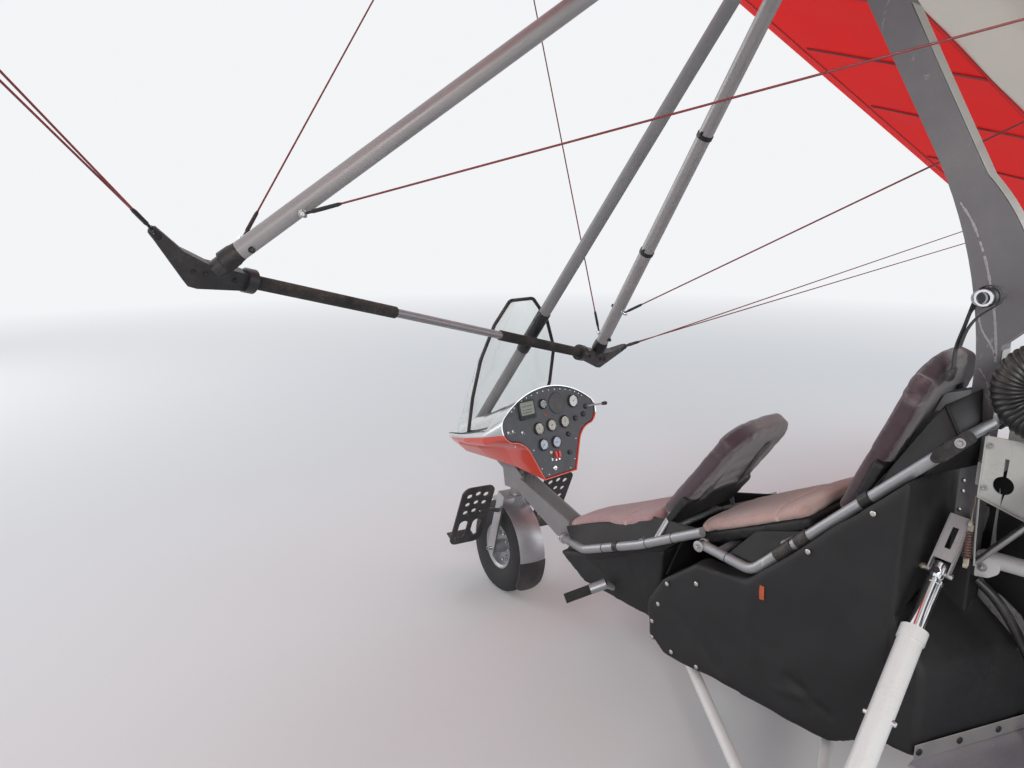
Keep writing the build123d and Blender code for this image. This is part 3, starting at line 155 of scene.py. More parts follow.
# %% Shared effects
def new_group(name, inputs, outputs):
    tree = bpy.data.node_groups.new(name, "ShaderNodeTree")
    for label, kind, value in inputs:
        socket = tree.interface.new_socket(label, in_out="INPUT", socket_type=kind)
        if value is not None:
            socket.default_value = value
    for label, kind in outputs:
        tree.interface.new_socket(label, in_out="OUTPUT", socket_type=kind)
    return tree, tree.nodes.new("NodeGroupInput"), tree.nodes.new("NodeGroupOutput")


def make_dust():
    tree, given, out = new_group(
        "Dust",
        [
            ("Color", "NodeSocketColor", (0.5, 0.5, 0.5, 1)),
            ("Dirt", "NodeSocketColor", (0.35, 0.30, 0.24, 1)),
            ("Roughness", "NodeSocketFloat", 0.5),
            ("Scale", "NodeSocketFloat", 9.0),
            ("Amount", "NodeSocketFloat", 0.3),
            ("Variation", "NodeSocketFloat", 0.12),
        ],
        [("Color", "NodeSocketColor"), ("Roughness", "NodeSocketFloat"), ("Mask", "NodeSocketFloat")],
    )
    point = object_point(tree)
    cloud = add(
        tree, "TexNoise", None,
        {"Vector": point, "Scale": given.outputs["Scale"], "Detail": 6.0, "Roughness": 0.62}
    )
    speck = add(tree, "TexNoise", None, {"Vector": point, "Scale": 140.0, "Detail": 3.0})
    patch = ramp(tree, cloud.outputs["Fac"], 0.46, 0.70)
    grit = ramp(tree, speck.outputs["Fac"], 0.40, 0.75)
    both = math_node(tree, "MULTIPLY", patch, math_node(tree, "ADD", grit, 0.35))
    normal = add(tree, "NewGeometry").outputs["Normal"]
    up = ramp(tree, add(tree, "SeparateXYZ", None, {0: normal}).outputs["Z"], -0.3, 1.0, 0.35, 1.0)
    mask = math_node(tree, "MULTIPLY", math_node(tree, "MULTIPLY", both, up), given.outputs["Amount"])
    shade = ramp(tree, cloud.outputs["Fac"], 0.25, 0.75, -1.0, 1.0)
    swing = math_node(tree, "MULTIPLY", shade, given.outputs["Variation"])
    level = math_node(tree, "ADD", swing, 1.0)
    varied = add(tree, "VectorMath", {"operation": "SCALE"}, {0: given.outputs["Color"], "Scale": level}).outputs[0]
    color = mix_color(tree, mask, varied, given.outputs["Dirt"])
    rough = math_node(tree, "ADD", given.outputs["Roughness"], math_node(tree, "MULTIPLY", mask, 0.35))
    rough = math_node(tree, "ADD", rough, math_node(tree, "MULTIPLY", shade, 0.05))
    tree.links.new(color, out.inputs["Color"])
    tree.links.new(rough, out.inputs["Roughness"])
    tree.links.new(mask, out.inputs["Mask"])
    return tree


def make_scuffs():
    tree, given, out = new_group(
        "Scuffs",
        [
            ("Color", "NodeSocketColor", (0.5, 0.5, 0.5, 1)),
            ("Bare", "NodeSocketColor", (0.75, 0.75, 0.76, 1)),
            ("Scale", "NodeSocketFloat", 5.0),
            ("Amount", "NodeSocketFloat", 0.5),
        ],
        [("Color", "NodeSocketColor"), ("Mask", "NodeSocketFloat")],
    )
    point = object_point(tree)
    bend = add(tree, "TexNoise", None, {"Vector": point, "Scale": 3.0, "Detail": 2.0})
    moved = add(
        tree, "VectorMath", {"operation": "MULTIPLY_ADD"},
        {0: bend.outputs["Color"], 1: (0.25, 0.25, 0.25), 2: point}
    )
    thin = add(
        tree, "Mapping", None,
        {"Vector": moved.outputs[0], "Rotation": (0.5, 0.3, 0.9), "Scale": (14.0, 14.0, 1.1)}
    )
    line = add(
        tree, "TexNoise", None,
        {"Vector": thin.outputs[0], "Scale": given.outputs["Scale"], "Detail": 4.0, "Roughness": 0.7}
    )
    streak = ramp(tree, line.outputs["Fac"], 0.62, 0.70)
    cloud = add(tree, "TexNoise", None, {"Vector": point, "Scale": 4.0, "Detail": 3.0})
    region = ramp(tree, cloud.outputs["Fac"], 0.50, 0.62)
    mask = math_node(tree, "MULTIPLY", math_node(tree, "MULTIPLY", streak, region), given.outputs["Amount"])
    tree.links.new(mix_color(tree, mask, given.outputs["Color"], given.outputs["Bare"]), out.inputs["Color"])
    tree.links.new(mask, out.inputs["Mask"])
    return tree


# The weave also darkens the colour where its threads dip: painted shade in the weave's low places.
def make_weave():
    tree, given, out = new_group(
        "Weave",
        [("Scale", "NodeSocketFloat", 320.0), ("Fuzz", "NodeSocketFloat", 0.5)],
        [("Height", "NodeSocketFloat"), ("Shade", "NodeSocketFloat")],
    )
    point = object_point(tree)
    turned = add(tree, "Mapping", None, {"Vector": point, "Rotation": (0.6, 0.4, 0.785)}).outputs[0]
    warp = add(
        tree, "TexWave", {"wave_type": "BANDS", "bands_direction": "X"},
        {"Vector": turned, "Scale": given.outputs["Scale"]}
    )
    weft = add(
        tree, "TexWave", {"wave_type": "BANDS", "bands_direction": "Y"},
        {"Vector": turned, "Scale": given.outputs["Scale"]}
    )
    cross = math_node(tree, "MULTIPLY", warp.outputs["Fac"], weft.outputs["Fac"])
    fluff = add(tree, "TexNoise", None, {"Vector": point, "Scale": 420.0, "Detail": 4.0, "Roughness": 0.7})
    share = math_node(tree, "MULTIPLY", fluff.outputs["Fac"], given.outputs["Fuzz"])
    height = math_node(tree, "ADD", cross, share)
    tree.links.new(height, out.inputs["Height"])
    tree.links.new(ramp(tree, height, 0.1, 1.1, 0.86, 1.08), out.inputs["Shade"])
    return tree


DUST = make_dust()
SCUFFS = make_scuffs()
WEAVE = make_weave()
print("shared effects", DUST.name, SCUFFS.name, WEAVE.name)


def place(tree, group, **inputs):
    item = tree.nodes.new("ShaderNodeGroup")
    item.node_tree = group
    for key, value in inputs.items():
        if isinstance(value, bpy.types.NodeSocket):
            tree.links.new(value, item.inputs[key])
        else:
            item.inputs[key].default_value = value
    return item


# %% [markdown]
# One recipe makes most finishes: a base colour, scuffs that show the metal below, dust in
# the quiet places, and a fine bump. The recipe's numbers are what tells a powder-coated tube
# from a moulded shell, so each finish gets its own.

# %% Material recipe
def finish(name, color, rough, metal=0.0, coat=0.0, sheen=0.0, dirt=(0.36, 0.31, 0.25), dust=0.3, patch=9.0,
           variation=0.1, scuff=0.0, bare=(0.72, 0.72, 0.73), grain=(180.0, 0.15), weave=None, shade=None):
    material = bpy.data.materials.new(name)
    material.use_nodes = True
    tree = material.node_tree
    shader = tree.nodes["Principled BSDF"]
    shader.inputs["Metallic"].default_value = metal
    shader.inputs["Coat Weight"].default_value = coat
    shader.inputs["Coat Roughness"].default_value = 0.06
    shader.inputs["Sheen Weight"].default_value = sheen
    base = rgba(color) if shade is None else shade(tree)
    if scuff:
        base = place(tree, SCUFFS, Color=base, Bare=rgba(bare), Amount=scuff).outputs["Color"]
    worn = place(
        tree, DUST, Color=base, Dirt=rgba(dirt), Roughness=rough, Scale=patch, Amount=dust, Variation=variation
    )
    tint = worn.outputs["Color"]
    if weave:
        cloth = place(tree, WEAVE, Scale=weave[0], Fuzz=weave[1])
        # On woven finishes the colour is darker in the weave's low places: painted shade.
        tint = add(
            tree, "VectorMath", {"operation": "SCALE"}, {0: tint, "Scale": cloth.outputs["Shade"]}
        ).outputs[0]
        height, depth = cloth.outputs["Height"], weave[2]
    else:
        noise = add(tree, "TexNoise", None, {"Vector": object_point(tree), "Scale": grain[0], "Detail": 3.0})
        height, depth = noise.outputs["Fac"], grain[1]
    bump = add(tree, "Bump", None, {"Height": height, "Strength": depth, "Distance": 0.002})
    tree.links.new(tint, shader.inputs["Base Color"])
    tree.links.new(worn.outputs["Roughness"], shader.inputs["Roughness"])
    tree.links.new(bump.outputs[0], shader.inputs["Normal"])
    return material


def paint(names, material):
    for name in names.split():
        slots = nodes[name].data.materials
        slots.clear()
        slots.append(material)


# The mast's coat is the same anodised grey as the strut's, drawn darker here: painted shade.
MAST_GREY_SHADED = finish(
    "mast_grey_painted_shade", (0.150, 0.146, 0.154), 0.46, scuff=0.5, bare=(0.42, 0.42, 0.43), dust=0.2,
    grain=(420, 0.10)
)
# The uprights' tubes are the same anodised grey as the strut's, drawn lighter here: painted light.
GREY_TUBE_LIT = finish(
    "grey_tube_painted_light", (0.36, 0.35, 0.35), 0.42, metal=0.25, scuff=0.4, bare=(0.6, 0.6, 0.6), dust=0.25,
    grain=(420, 0.08)
)
GUARD_SILVER = finish(
    "silver_guard", (0.38, 0.38, 0.405), 0.36, metal=0.75, scuff=0.35, bare=(0.7, 0.7, 0.7), dust=0.25, patch=8,
    grain=(420, 0.06)
)
GREY_COAT = finish(
    "grey_powder_coat", (0.235, 0.235, 0.24), 0.48, scuff=0.55, bare=(0.55, 0.55, 0.56), dust=0.25,
    grain=(420, 0.10)
)
LIGHT_ALLOY = finish(
    "satin_alloy", (0.34, 0.345, 0.36), 0.46, metal=0.7, scuff=0.4, bare=(0.8, 0.8, 0.8), dust=0.35, patch=14,
    grain=(500, 0.06)
)
WHITE_COAT = finish(
    "white_coat", (0.78, 0.78, 0.76), 0.36, coat=0.2, scuff=0.5, bare=(0.35, 0.33, 0.31), dust=0.3,
    variation=0.05
)
CHROME = finish("chrome", (0.82, 0.83, 0.86), 0.09, metal=1.0, dust=0.12, variation=0.03, grain=(300, 0.02))
STEEL = finish(
    "worn_steel", (0.48, 0.48, 0.48), 0.36, metal=0.95, scuff=0.5, dust=0.45, dirt=(0.22, 0.15, 0.10),
    grain=(380, 0.12)
)
BLACK_PLASTIC = finish("black_plastic", (0.022, 0.022, 0.024), 0.46, dust=0.35, patch=12, grain=(520, 0.10))
BLACK_COAT = finish("black_coat", (0.028, 0.028, 0.030), 0.40, scuff=0.35, dust=0.4, grain=(420, 0.10))
TYRE_RUBBER = finish(
    "tyre_rubber", (0.018, 0.018, 0.020), 0.74, dust=0.5, patch=16, dirt=(0.10, 0.09, 0.08), grain=(260, 0.35)
)
SHELL_RED = finish(
    "orange_red_shell", (0.66, 0.040, 0.012), 0.30, coat=0.5, dust=0.16, variation=0.05, grain=(90, 0.04)
)
CAP_SILVER = finish(
    "silver_cap", (0.52, 0.53, 0.54), 0.16, metal=0.85, coat=0.6, dust=0.2, variation=0.05, grain=(90, 0.03)
)
SLATE = finish("slate_panel", (0.085, 0.10, 0.115), 0.52, dust=0.22, patch=26, variation=0.10, grain=(700, 0.18))
BLACK_CLOTH = finish(
    "coated_cloth", (0.0075, 0.0075, 0.009), 0.58, dust=0.30, dirt=(0.045, 0.042, 0.040), patch=6,
    variation=0.25, weave=(520, 0.4, 0.22)
)
LAVENDER_TRAY = finish(
    "dull_tray", (0.40, 0.385, 0.43), 0.45, metal=0.5, scuff=0.5, dust=0.5, patch=10, grain=(300, 0.1)
)
CAST_METAL = finish(
    "cast_alloy", (0.23, 0.23, 0.235), 0.55, metal=0.75, dust=0.6, dirt=(0.10, 0.085, 0.07), patch=13,
    grain=(160, 0.45)
)
HOSE_BLACK = finish("hose_black", (0.017, 0.017, 0.018), 0.42, dust=0.3, patch=14, grain=(300, 0.2))
EXHAUST = finish(
    "heat_stained_steel", (0.26, 0.19, 0.15), 0.5, metal=0.8, dust=0.7, dirt=(0.30, 0.13, 0.06), patch=11,
    grain=(200, 0.3)
)
BLADE = finish("blade_black", (0.018, 0.018, 0.020), 0.30, coat=0.4, dust=0.3, grain=(240, 0.08))
FOAM = finish("grip_foam", (0.018, 0.018, 0.019), 0.85, dust=0.4, grain=(650, 0.45))
RED_CABLE = finish("red_coated_cable", (0.22, 0.018, 0.022), 0.38, coat=0.3, dust=0.2, grain=(900, 0.5))
print("finishes", len(bpy.data.materials))

# %% [markdown]
# The screen is a clear sheet bent over a hoop. Transmission and the sheet's own IOR make it
# clear, and a noise in its roughness gives the faint smears that let the eye find it. The
# glasses of the dials use the same function with finer smears.

# %% Screen
def clear_sheet(name, ior, smears, haze, tints):
    """Clear sheet whose gloss varies with fine smears."""
    material = bpy.data.materials.new(name)
    material.use_nodes = True
    tree = material.node_tree
    shader = tree.nodes["Principled BSDF"]
    shader.inputs["Transmission Weight"].default_value = 1.0
    shader.inputs["IOR"].default_value = ior
    smear = add(tree, "TexNoise", None, {"Vector": object_point(tree), **smears}).outputs["Fac"]
    tree.links.new(ramp(tree, smear, *haze), shader.inputs["Roughness"])
    tree.links.new(mix_color(tree, smear, *[rgba(tint) for tint in tints]), shader.inputs["Base Color"])
    return material


SCREEN = clear_sheet("clear_screen", 1.49, {"Scale": 9.0, "Detail": 8.0, "Roughness": 0.7},
                     (0.45, 0.85, 0.015, 0.12), [(0.93, 0.97, 0.94), (0.99, 1.0, 0.99)])
print("screen", SCREEN.name)

# %% [markdown]
# Small parts are skinned in mesh code. `pipe` puts rings round a run of points, which makes
# tubes, springs and anything turned on a lathe. `slab` pulls a flat outline up into a plate
# with soft edges, and `ribbon` lays a strap. `piece` turns the result into an object in the
# right frame and lets it ride on a body. All of them take millimetres.

# %% Mesh helpers
def frame_matrix(origin, x_axis, y_axis, z_axis):
    columns = Matrix((x_axis, y_axis, z_axis)).transposed() * 0.001
    return Matrix.Translation(origin) @ columns.to_4x4()


def placed(origin, x_axis, y_axis, z_axis):
    return Matrix.Translation(origin) @ Matrix((x_axis, y_axis, z_axis)).transposed().to_4x4()


TRIKE = frame_matrix(at(0, 0, 0), (1, 0, 0), (0, 1, 0), (0, 0, 1))
WING = frame_matrix(DATUM, PORT, AFT, TOP)
LEAN = math.radians(15.5)
PANEL = frame_matrix(
    at(0, -1466 + 4 * math.cos(LEAN), 615 + 4 * math.sin(LEAN)),
    (-1, 0, 0), (0, -math.sin(LEAN), math.cos(LEAN)), (0, math.cos(LEAN), math.sin(LEAN)),
)


# Turn a flat outline to stand along the aircraft, stand across it, or change sides
ALONGSIDE = Matrix(((0, 0, 1, 0), (1, 0, 0, 0), (0, 1, 0, 0), (0, 0, 0, 1)))
ACROSS = Matrix(((1, 0, 0, 0), (0, 0, 1, 0), (0, 1, 0, 0), (0, 0, 0, 1)))
MIRROR = Matrix.Diagonal((-1, 1, 1, 1))


def colored(faces, paint):
    for face in faces:
        face.material_index = paint
    return faces


def join_rings(bm, rings, closed=False):
    """Faces from each closed ring of points to the next."""
    faces = []
    for first, second in zip(rings, rings[1:] + rings[:1] if closed else rings[1:]):
        for k in range(len(first)):
            faces.append(bm.faces.new((first[k - 1], first[k], second[k], second[k - 1])))
    return faces


def join_rows(bm, rows, flip=False):
    """Faces from each open row of points to the next."""
    for first, second in zip(rows, rows[1:]):
        for k in range(len(first) - 1):
            quad = (first[k], first[k + 1], second[k + 1], second[k])
            bm.faces.new(quad[::-1] if flip else quad)


# %% Pipes, plates and straps
def pipe(bm, points, radii, sides=16, along=None, paint=0, loop=False):
    points = [Vector(point) for point in points]
    count = len(points)
    if not hasattr(radii, "__len__"):
        radii = [radii] * count
    rings = []
    side = None
    for index, (point, radius) in enumerate(zip(points, radii)):
        ahead = points[(index + 1) % count if loop else min(index + 1, count - 1)]
        behind = points[index - 1 if loop else max(index - 1, 0)]
        tangent = Vector(along or (ahead - behind)).normalized()
        side = tangent.orthogonal() if side is None else side - tangent * side.dot(tangent)
        side.normalize()
        up = tangent.cross(side)
        turns = [2 * math.pi * k / sides for k in range(sides)]
        rings.append([bm.verts.new(point + (side * math.cos(a) + up * math.sin(a)) * radius) for a in turns])
    faces = join_rings(bm, rings, loop)
    if not loop:
        faces += [bm.faces.new(rings[0]), bm.faces.new(rings[-1][::-1])]
    return colored(faces, paint)


def turned(bm, start, along, rows, sides=24, paint=0):
    axis = Vector(along).normalized()
    points = [Vector(start) + axis * reach for reach, radius in rows]
    return pipe(bm, points, [radius for reach, radius in rows], sides, axis, paint)


def slab(bm, outline, low, high, soft=0.0, paint=0, to=None):
    to = to or Matrix.Identity(4)
    base = [bm.verts.new((x, y, low)) for x, y in outline]
    lid = [bm.verts.new((x, y, high)) for x, y in outline]
    faces = [bm.faces.new(base[::-1]), bm.faces.new(lid)]
    count = len(base)
    for k in range(count):
        faces.append(bm.faces.new((base[k - 1], base[k], lid[k], lid[k - 1])))
    if soft:
        edges = list({edge for face in faces[:2] for edge in face.edges})
        made = bmesh.ops.bevel(bm, geom=edges, offset=soft, segments=2, affect="EDGES", profile=0.6)
        faces = list({face for vert in made["verts"] for face in vert.link_faces})
    corners = {vert for face in faces for vert in face.verts}
    for vert in corners:
        vert.co = to @ vert.co
    return colored(faces, paint)


def ribbon(bm, points, across, width, thick, paint=0):
    points = [Vector(point) for point in points]
    across = Vector(across).normalized()
    rings = []
    for index, point in enumerate(points):
        ahead, behind = points[min(index + 1, len(points) - 1)], points[max(index - 1, 0)]
        normal = (ahead - behind).cross(across).normalized() * (thick / 2)
        edge = across * (width / 2)
        inner = across * (width / 2 - thick / 2)
        ring = [point + edge, point + inner + normal, point - inner + normal,
                point - edge, point - inner - normal, point + inner - normal]
        rings.append([bm.verts.new(place) for place in ring])
    faces = [bm.faces.new(rings[0]), bm.faces.new(rings[-1][::-1])]
    return colored(faces + join_rings(bm, rings), paint)


# %% Curves and corners
def smooth_run(points, steps=6):
    """Points along a curve that passes through all the given ones."""
    points = [Vector(point) for point in points]
    padded = [points[0] * 2 - points[1], *points, points[-1] * 2 - points[-2]]
    run = []
    for a, b, c, d in zip(padded, padded[1:], padded[2:], padded[3:]):
        for k in range(steps):
            t = k / steps
            run.append(
                0.5 * (
                    2 * b + (c - a) * t + (2 * a - 5 * b + 4 * c - d) * t * t + (3 * b - a - 3 * c + d) * t ** 3
                )
            )
    return [*run, points[-1]]


def soften(outline, radii, steps=6):
    """The outline with each corner rounded by its own reach."""
    if not hasattr(radii, "__len__"):
        radii = [radii] * len(outline)
    corners = [Vector(point) for point in outline]
    run = []
    for k, (corner, radius) in enumerate(zip(corners, radii)):
        if not radius:
            run.append(tuple(corner))
            continue
        back = corner + (corners[k - 1] - corner).normalized() * radius
        front = corner + (corners[(k + 1) % len(corners)] - corner).normalized() * radius
        for j in range(steps + 1):
            t = j / steps
            run.append(tuple(back * (1 - t) ** 2 + corner * 2 * t * (1 - t) + front * t * t))
    return run


# %% Pieces
def piece(name, bm, materials, body="airframe", frame_at=TRIKE, crease=35):
    bmesh.ops.recalc_face_normals(bm, faces=bm.faces)
    bmesh.ops.transform(bm, matrix=frame_at, verts=bm.verts)
    mesh = bpy.data.meshes.new(name)
    bm.to_mesh(mesh)
    bm.free()
    mesh.shade_smooth()
    mesh.set_sharp_from_angle(angle=math.radians(crease))
    for material in materials if isinstance(materials, (list, tuple)) else [materials]:
        mesh.materials.append(material)
    made = bpy.data.objects.new(name, mesh)
    scene.collection.objects.link(made)
    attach(made, body)
    return made


def applied(piece_object):
    """Bake the piece's modifiers into its mesh."""
    shown = piece_object.evaluated_get(bpy.context.evaluated_depsgraph_get())
    mesh = bpy.data.meshes.new_from_object(shown)
    piece_object.modifiers.clear()
    old = piece_object.data
    piece_object.data = mesh
    bpy.data.meshes.remove(old)
    return piece_object


print("panel frame", [round(v, 3) for v in PANEL.translation])

# %% [markdown]
# The two seats are the softest things on the aircraft. Each cushion is a pad of pinkish
# velour over a black base. The real ones are sewn covers round foam, so the velour top is
# cut slightly small, filled by a cloth simulation under pressure, and only then gets its
# sewn seams, drawn in as shallow channels. The nap is paler where it has been rubbed: along
# the seams and round the rim. That is kept as an attribute that the material reads.

# %% Velour
def velour(name, color, worn, dirt):
    def shade(tree):
        wear = add(tree, "Attribute", {"attribute_name": "wear"}).outputs["Fac"]
        point = object_point(tree)
        brush = add(
            tree, "Mapping", None, {"Vector": point, "Rotation": (0.3, 0.2, 0.5), "Scale": (3.0, 11.0, 3.0)}
        )
        nap = add(
            tree, "TexNoise", None, {"Vector": brush.outputs[0], "Scale": 3.2, "Detail": 5.0, "Roughness": 0.6}
        )
        stroke = ramp(tree, nap.outputs["Fac"], 0.42, 0.62, 0.0, 0.45)
        fray = add(tree, "TexNoise", None, {"Vector": point, "Scale": 60.0, "Detail": 4.0})
        rubbed = math_node(tree, "MULTIPLY", wear, ramp(tree, fray.outputs["Fac"], 0.3, 0.62))
        tint = mix_color(tree, stroke, rgba(color), rgba([c * 0.80 for c in color]))
        return mix_color(tree, rubbed, tint, rgba(worn))
    return finish(
        name, color, 0.9, sheen=0.55, dust=0.35, dirt=dirt, patch=10, variation=0.10, weave=(260, 1.1, 0.45),
        shade=shade
    )


PINK_VELOUR = velour("pink_velour", (0.44, 0.235, 0.235), (0.62, 0.43, 0.40), (0.50, 0.36, 0.33))
BEIGE_VELOUR = velour("beige_velour", (0.52, 0.33, 0.29), (0.68, 0.50, 0.42), (0.60, 0.47, 0.39))
DARK_VELOUR = velour("aubergine_velour", (0.050, 0.024, 0.034), (0.25, 0.19, 0.20), (0.085, 0.052, 0.060))
print("velours", 3)

# %% Pad shapes
def pad_frame(front, back):
    run = Vector((0, back[0] - front[0], back[1] - front[1]))
    along = run.normalized()
    return frame_matrix(at(0, *front), (1, 0, 0), along, (0, -along.z, along.y)), run.length


def pad_outline(length, widths, corners, inset=0.0):
    """Closed outline through half widths at shares of the length, with rounded corners."""
    port = [(half - inset, inset + share * (length - 2 * inset)) for share, half in widths]
    outline = port + [(-x, y) for x, y in reversed(port)]
    reach = [corners[0]] + [45] * (len(port) - 2) + [corners[1]]
    return soften(outline, reach + reach[::-1], 8)


def evened(pad, voxel):
    remesh = pad.modifiers.new("even", "REMESH")
    remesh.mode = "VOXEL"
    remesh.voxel_size = voxel
    return applied(pad)


# %% Filling
FILLING_FRAMES = 20


def swell(pad, voxel, cap):
    """Fill the pad by a cloth simulation, cap how far it moves, and smooth it once."""
    evened(pad, voxel)
    start = [vert.co.copy() for vert in pad.data.vertices]
    cloth = pad.modifiers.new("filled", "CLOTH")
    cloth.settings.quality = 5
    cloth.settings.use_pressure = True
    cloth.settings.uniform_pressure_force = 4.0
    cloth.settings.effector_weights.gravity = 0
    for frame_number in range(1, FILLING_FRAMES + 1):
        scene.frame_set(frame_number)
    shown = pad.evaluated_get(bpy.context.evaluated_depsgraph_get())
    moved = [vert.co.copy() for vert in shown.data.vertices]
    pad.modifiers.clear()
    scene.frame_set(1)
    for vert, old, new in zip(pad.data.vertices, start, moved):
        step = new - old
        if step.length > cap:
            step *= cap / step.length
        vert.co = old + step
    pad.modifiers.new("round", "SUBSURF").levels = 1
    applied(pad)
    pad.data.shade_smooth()
    return pad


def local_points(made, frame_at):
    """The piece's points in its own frame, as an array."""
    points = np.empty(len(made.data.vertices) * 3)
    made.data.vertices.foreach_get("co", points)
    back_to = np.array(frame_at.inverted())
    return points.reshape(-1, 3) @ back_to[:3, :3].T + back_to[:3, 3]


def set_points(made, frame_at, local):
    out = np.array(frame_at)
    made.data.vertices.foreach_set("co", (local @ out[:3, :3].T + out[:3, 3]).ravel())
    made.data.update()


# %% Sewn seams
def gap_to(flat, line):
    """Distance from flat points to a run of straight lines."""
    best = np.full(len(flat), 1e9)
    for first, second in zip(line, line[1:]):
        a, run = np.array(first), np.array(second) - np.array(first)
        share = np.clip((flat - a) @ run / (run @ run), 0, 1)
        best = np.minimum(best, np.linalg.norm(a + share[:, None] * run - flat, axis=1))
    return best


def stitch(pad, frame_at, seams, depth, rim=None, rim_width=12, level=None):
    """Draw seams in as channels on the pad's face, and note where its nap is worn."""
    local = local_points(pad, frame_at)
    worn = np.zeros(len(local))
    face = np.ones(len(local)) if level is None else np.clip((local[:, 2] - level) / 8, 0, 1)
    for seam in seams:
        gap = gap_to(local[:, :2], seam)
        local[:, 2] -= depth * face * np.exp(-(gap / 7) ** 2)
        worn = np.maximum(worn, 0.95 * face * np.exp(-(gap / 8) ** 2))
    if rim:
        worn = np.maximum(worn, 0.9 * np.exp(-(gap_to(local[:, :2], rim) / rim_width) ** 2))
    set_points(pad, frame_at, local)
    pad.data.attributes.new("wear", "FLOAT", "POINT").data.foreach_set("value", worn)


def dome(pad, frame_at, length, half, low, high, crown, lift=None):
    """Raise the pad's face towards its middle, and where it rises to the back."""
    local = local_points(pad, frame_at)
    share = np.clip((local[:, 2] - low) / (high - low), 0, 1)
    across = np.clip(1 - (local[:, 0] / half) ** 2, 0, 1)
    down = np.clip(1 - (2 * local[:, 1] / length - 1) ** 4, 0, 1)
    local[:, 2] += share * crown * across * down
    if lift:
        local[:, 2] += share * lift[1] * np.clip(local[:, 1] / length - lift[0], 0, 1) / (1 - lift[0])
    set_points(pad, frame_at, local)


# %% Cushions
def cushion(node, front, back, widths, corners, thick, velour_thick, material, seams, lift):
    frame_at, length = pad_frame(front, back)
    half = max(width for share, width in widths)
    bm = bmesh.new()
    slab(bm, pad_outline(length, widths, corners, 7), 2 - velour_thick, -5)
    top = evened(piece(node + "_velour", bm, material, frame_at=frame_at), 0.006)
    dome(top, frame_at, length, half, -velour_thick, -5, 8, lift)
    swell(top, 0.006, 0.008)
    rows = [[(x * half, share * length) for x, share in seam] for seam in seams]
    rim = pad_outline(length, widths, corners, 0)
    stitch(top, frame_at, rows, 6, rim + rim[:1], 11, -velour_thick)
    bm = bmesh.new()
    slab(bm, pad_outline(length, widths, corners, 8), 4 - thick, -velour_thick - 2)
    base = swell(piece(node + "_base", bm, BLACK_CLOTH, frame_at=frame_at), 0.008, 0.007)
    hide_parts(node)
    return top, frame_at, length


FRONT_SEAMS = [
    [(-1.1, 0.115), (0, 0.10), (1.1, 0.115)],
    [(-1.1, 0.70), (0, 0.72), (1.1, 0.70)],
]
REAR_SEAMS = [
    [(-1.1, 0.135), (0, 0.12), (1.1, 0.135)],
    [(-1.1, 0.74), (0, 0.76), (1.1, 0.74)],
]
front_cushion = cushion(
    "front_cushion", (-1340, 478), (-862, 672),
    [(0, 118), (0.18, 124), (0.40, 128), (0.62, 168), (0.80, 186), (1, 182)], (60, 34), 56, 27, PINK_VELOUR,
    FRONT_SEAMS, (0.71, 9),
)
rear_cushion = cushion(
    "rear_cushion", (-742, 672), (-352, 862),
    [(0, 160), (0.16, 174), (0.45, 190), (0.75, 200), (1, 196)], (64, 34), 66, 27, BEIGE_VELOUR, REAR_SEAMS,
    (0.75, 9),
)
print("cushions", [len(made[0].data.polygons) for made in (front_cushion, rear_cushion)])

# %% [markdown]
# A backrest is one stuffed cover over a hoop. Seen from behind it has a wide velour border
# round a sunk panel, a black sleeve over its lower part and two straps that pull it to the
# frame. The sunk panel is pushed in after the filling, because the cover is sewn down there.

# %% Backrests
def sink(pad, frame_at, outline, depth, back_level):
    """Push the rear face in inside an outline."""
    local = local_points(pad, frame_at)
    ring = outline + outline[:1]
    gap = gap_to(local[:, :2], ring)
    inside = np.zeros(len(local), bool)
    for (x1, y1), (x2, y2) in zip(ring, ring[1:]):
        crosses = (y1 > local[:, 1]) != (y2 > local[:, 1])
        reach = (x2 - x1) * (local[:, 1] - y1) / ((y2 - y1) or 1e-9) + x1
        inside ^= crosses & (local[:, 0] < reach)
    rear = np.clip((back_level - local[:, 2]) / 12, 0, 1)
    local[:, 2] += depth * rear * inside * np.clip(gap / 14, 0, 1)
    set_points(pad, frame_at, local)


def backrest(node, front, back, thick, widths, corners, window, cover, seams):
    frame_at, length = pad_frame(front, back)
    bm = bmesh.new()
    slab(bm, pad_outline(length, widths, corners, 7), 6 - thick, -6)
    pad = evened(piece(node + "_velour", bm, DARK_VELOUR, frame_at=frame_at), 0.007)
    dome(pad, frame_at, length, 190, -thick, -6, 6)
    swell(pad, 0.0065, 0.008)
    half, low, high = window
    corners_at = ((-half, low), (half, low), (half * 0.8, high), (-half * 0.8, high))
    recess = soften([(x, share * length) for x, share in corners_at], 40, 5)
    sink(pad, frame_at, recess, 13, 8 - thick)
    rim = pad_outline(length, widths, corners, 0)
    stitch(pad, frame_at, seams, 5, rim + rim[:1], 9, -thick / 2)
    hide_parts(node)
    bm = bmesh.new()
    hem = soften([(-widths[0][1] - 5, -4), (widths[0][1] + 5, -4), (widths[0][1] + 6, cover * length),
                  (0, cover * length + 12), (-widths[0][1] - 6, cover * length)], [26, 26, 12, 60, 12], 6)
    slab(bm, hem, -thick - 3, -thick + 24, 6)
    sleeve = swell(piece(node + "_sleeve", bm, BLACK_CLOTH, frame_at=frame_at), 0.007, 0.003)
    bm = bmesh.new()
    for side in (1, -1):
        x = side * half * 0.93
        run = [(x, cover * length - 30, -thick - 5), (x, (cover + 0.12) * length, -thick - 1),
               (x * 0.92, (high - 0.14) * length, -thick + 9), (x * 0.86, (high - 0.01) * length, -thick + 2)]
        ribbon(bm, smooth_run(run, 8), (1, 0, 0), 40, 2.2)
        keeper = [(x + reach, (cover + 0.07) * length, -thick - 5) for reach in (-22, 22)]
        ribbon(bm, smooth_run(keeper, 3), (0, 1, 0), 14, 3)
    piece(node + "_straps", bm, BLACK_WEBBING, frame_at=frame_at)
    return frame_at, length


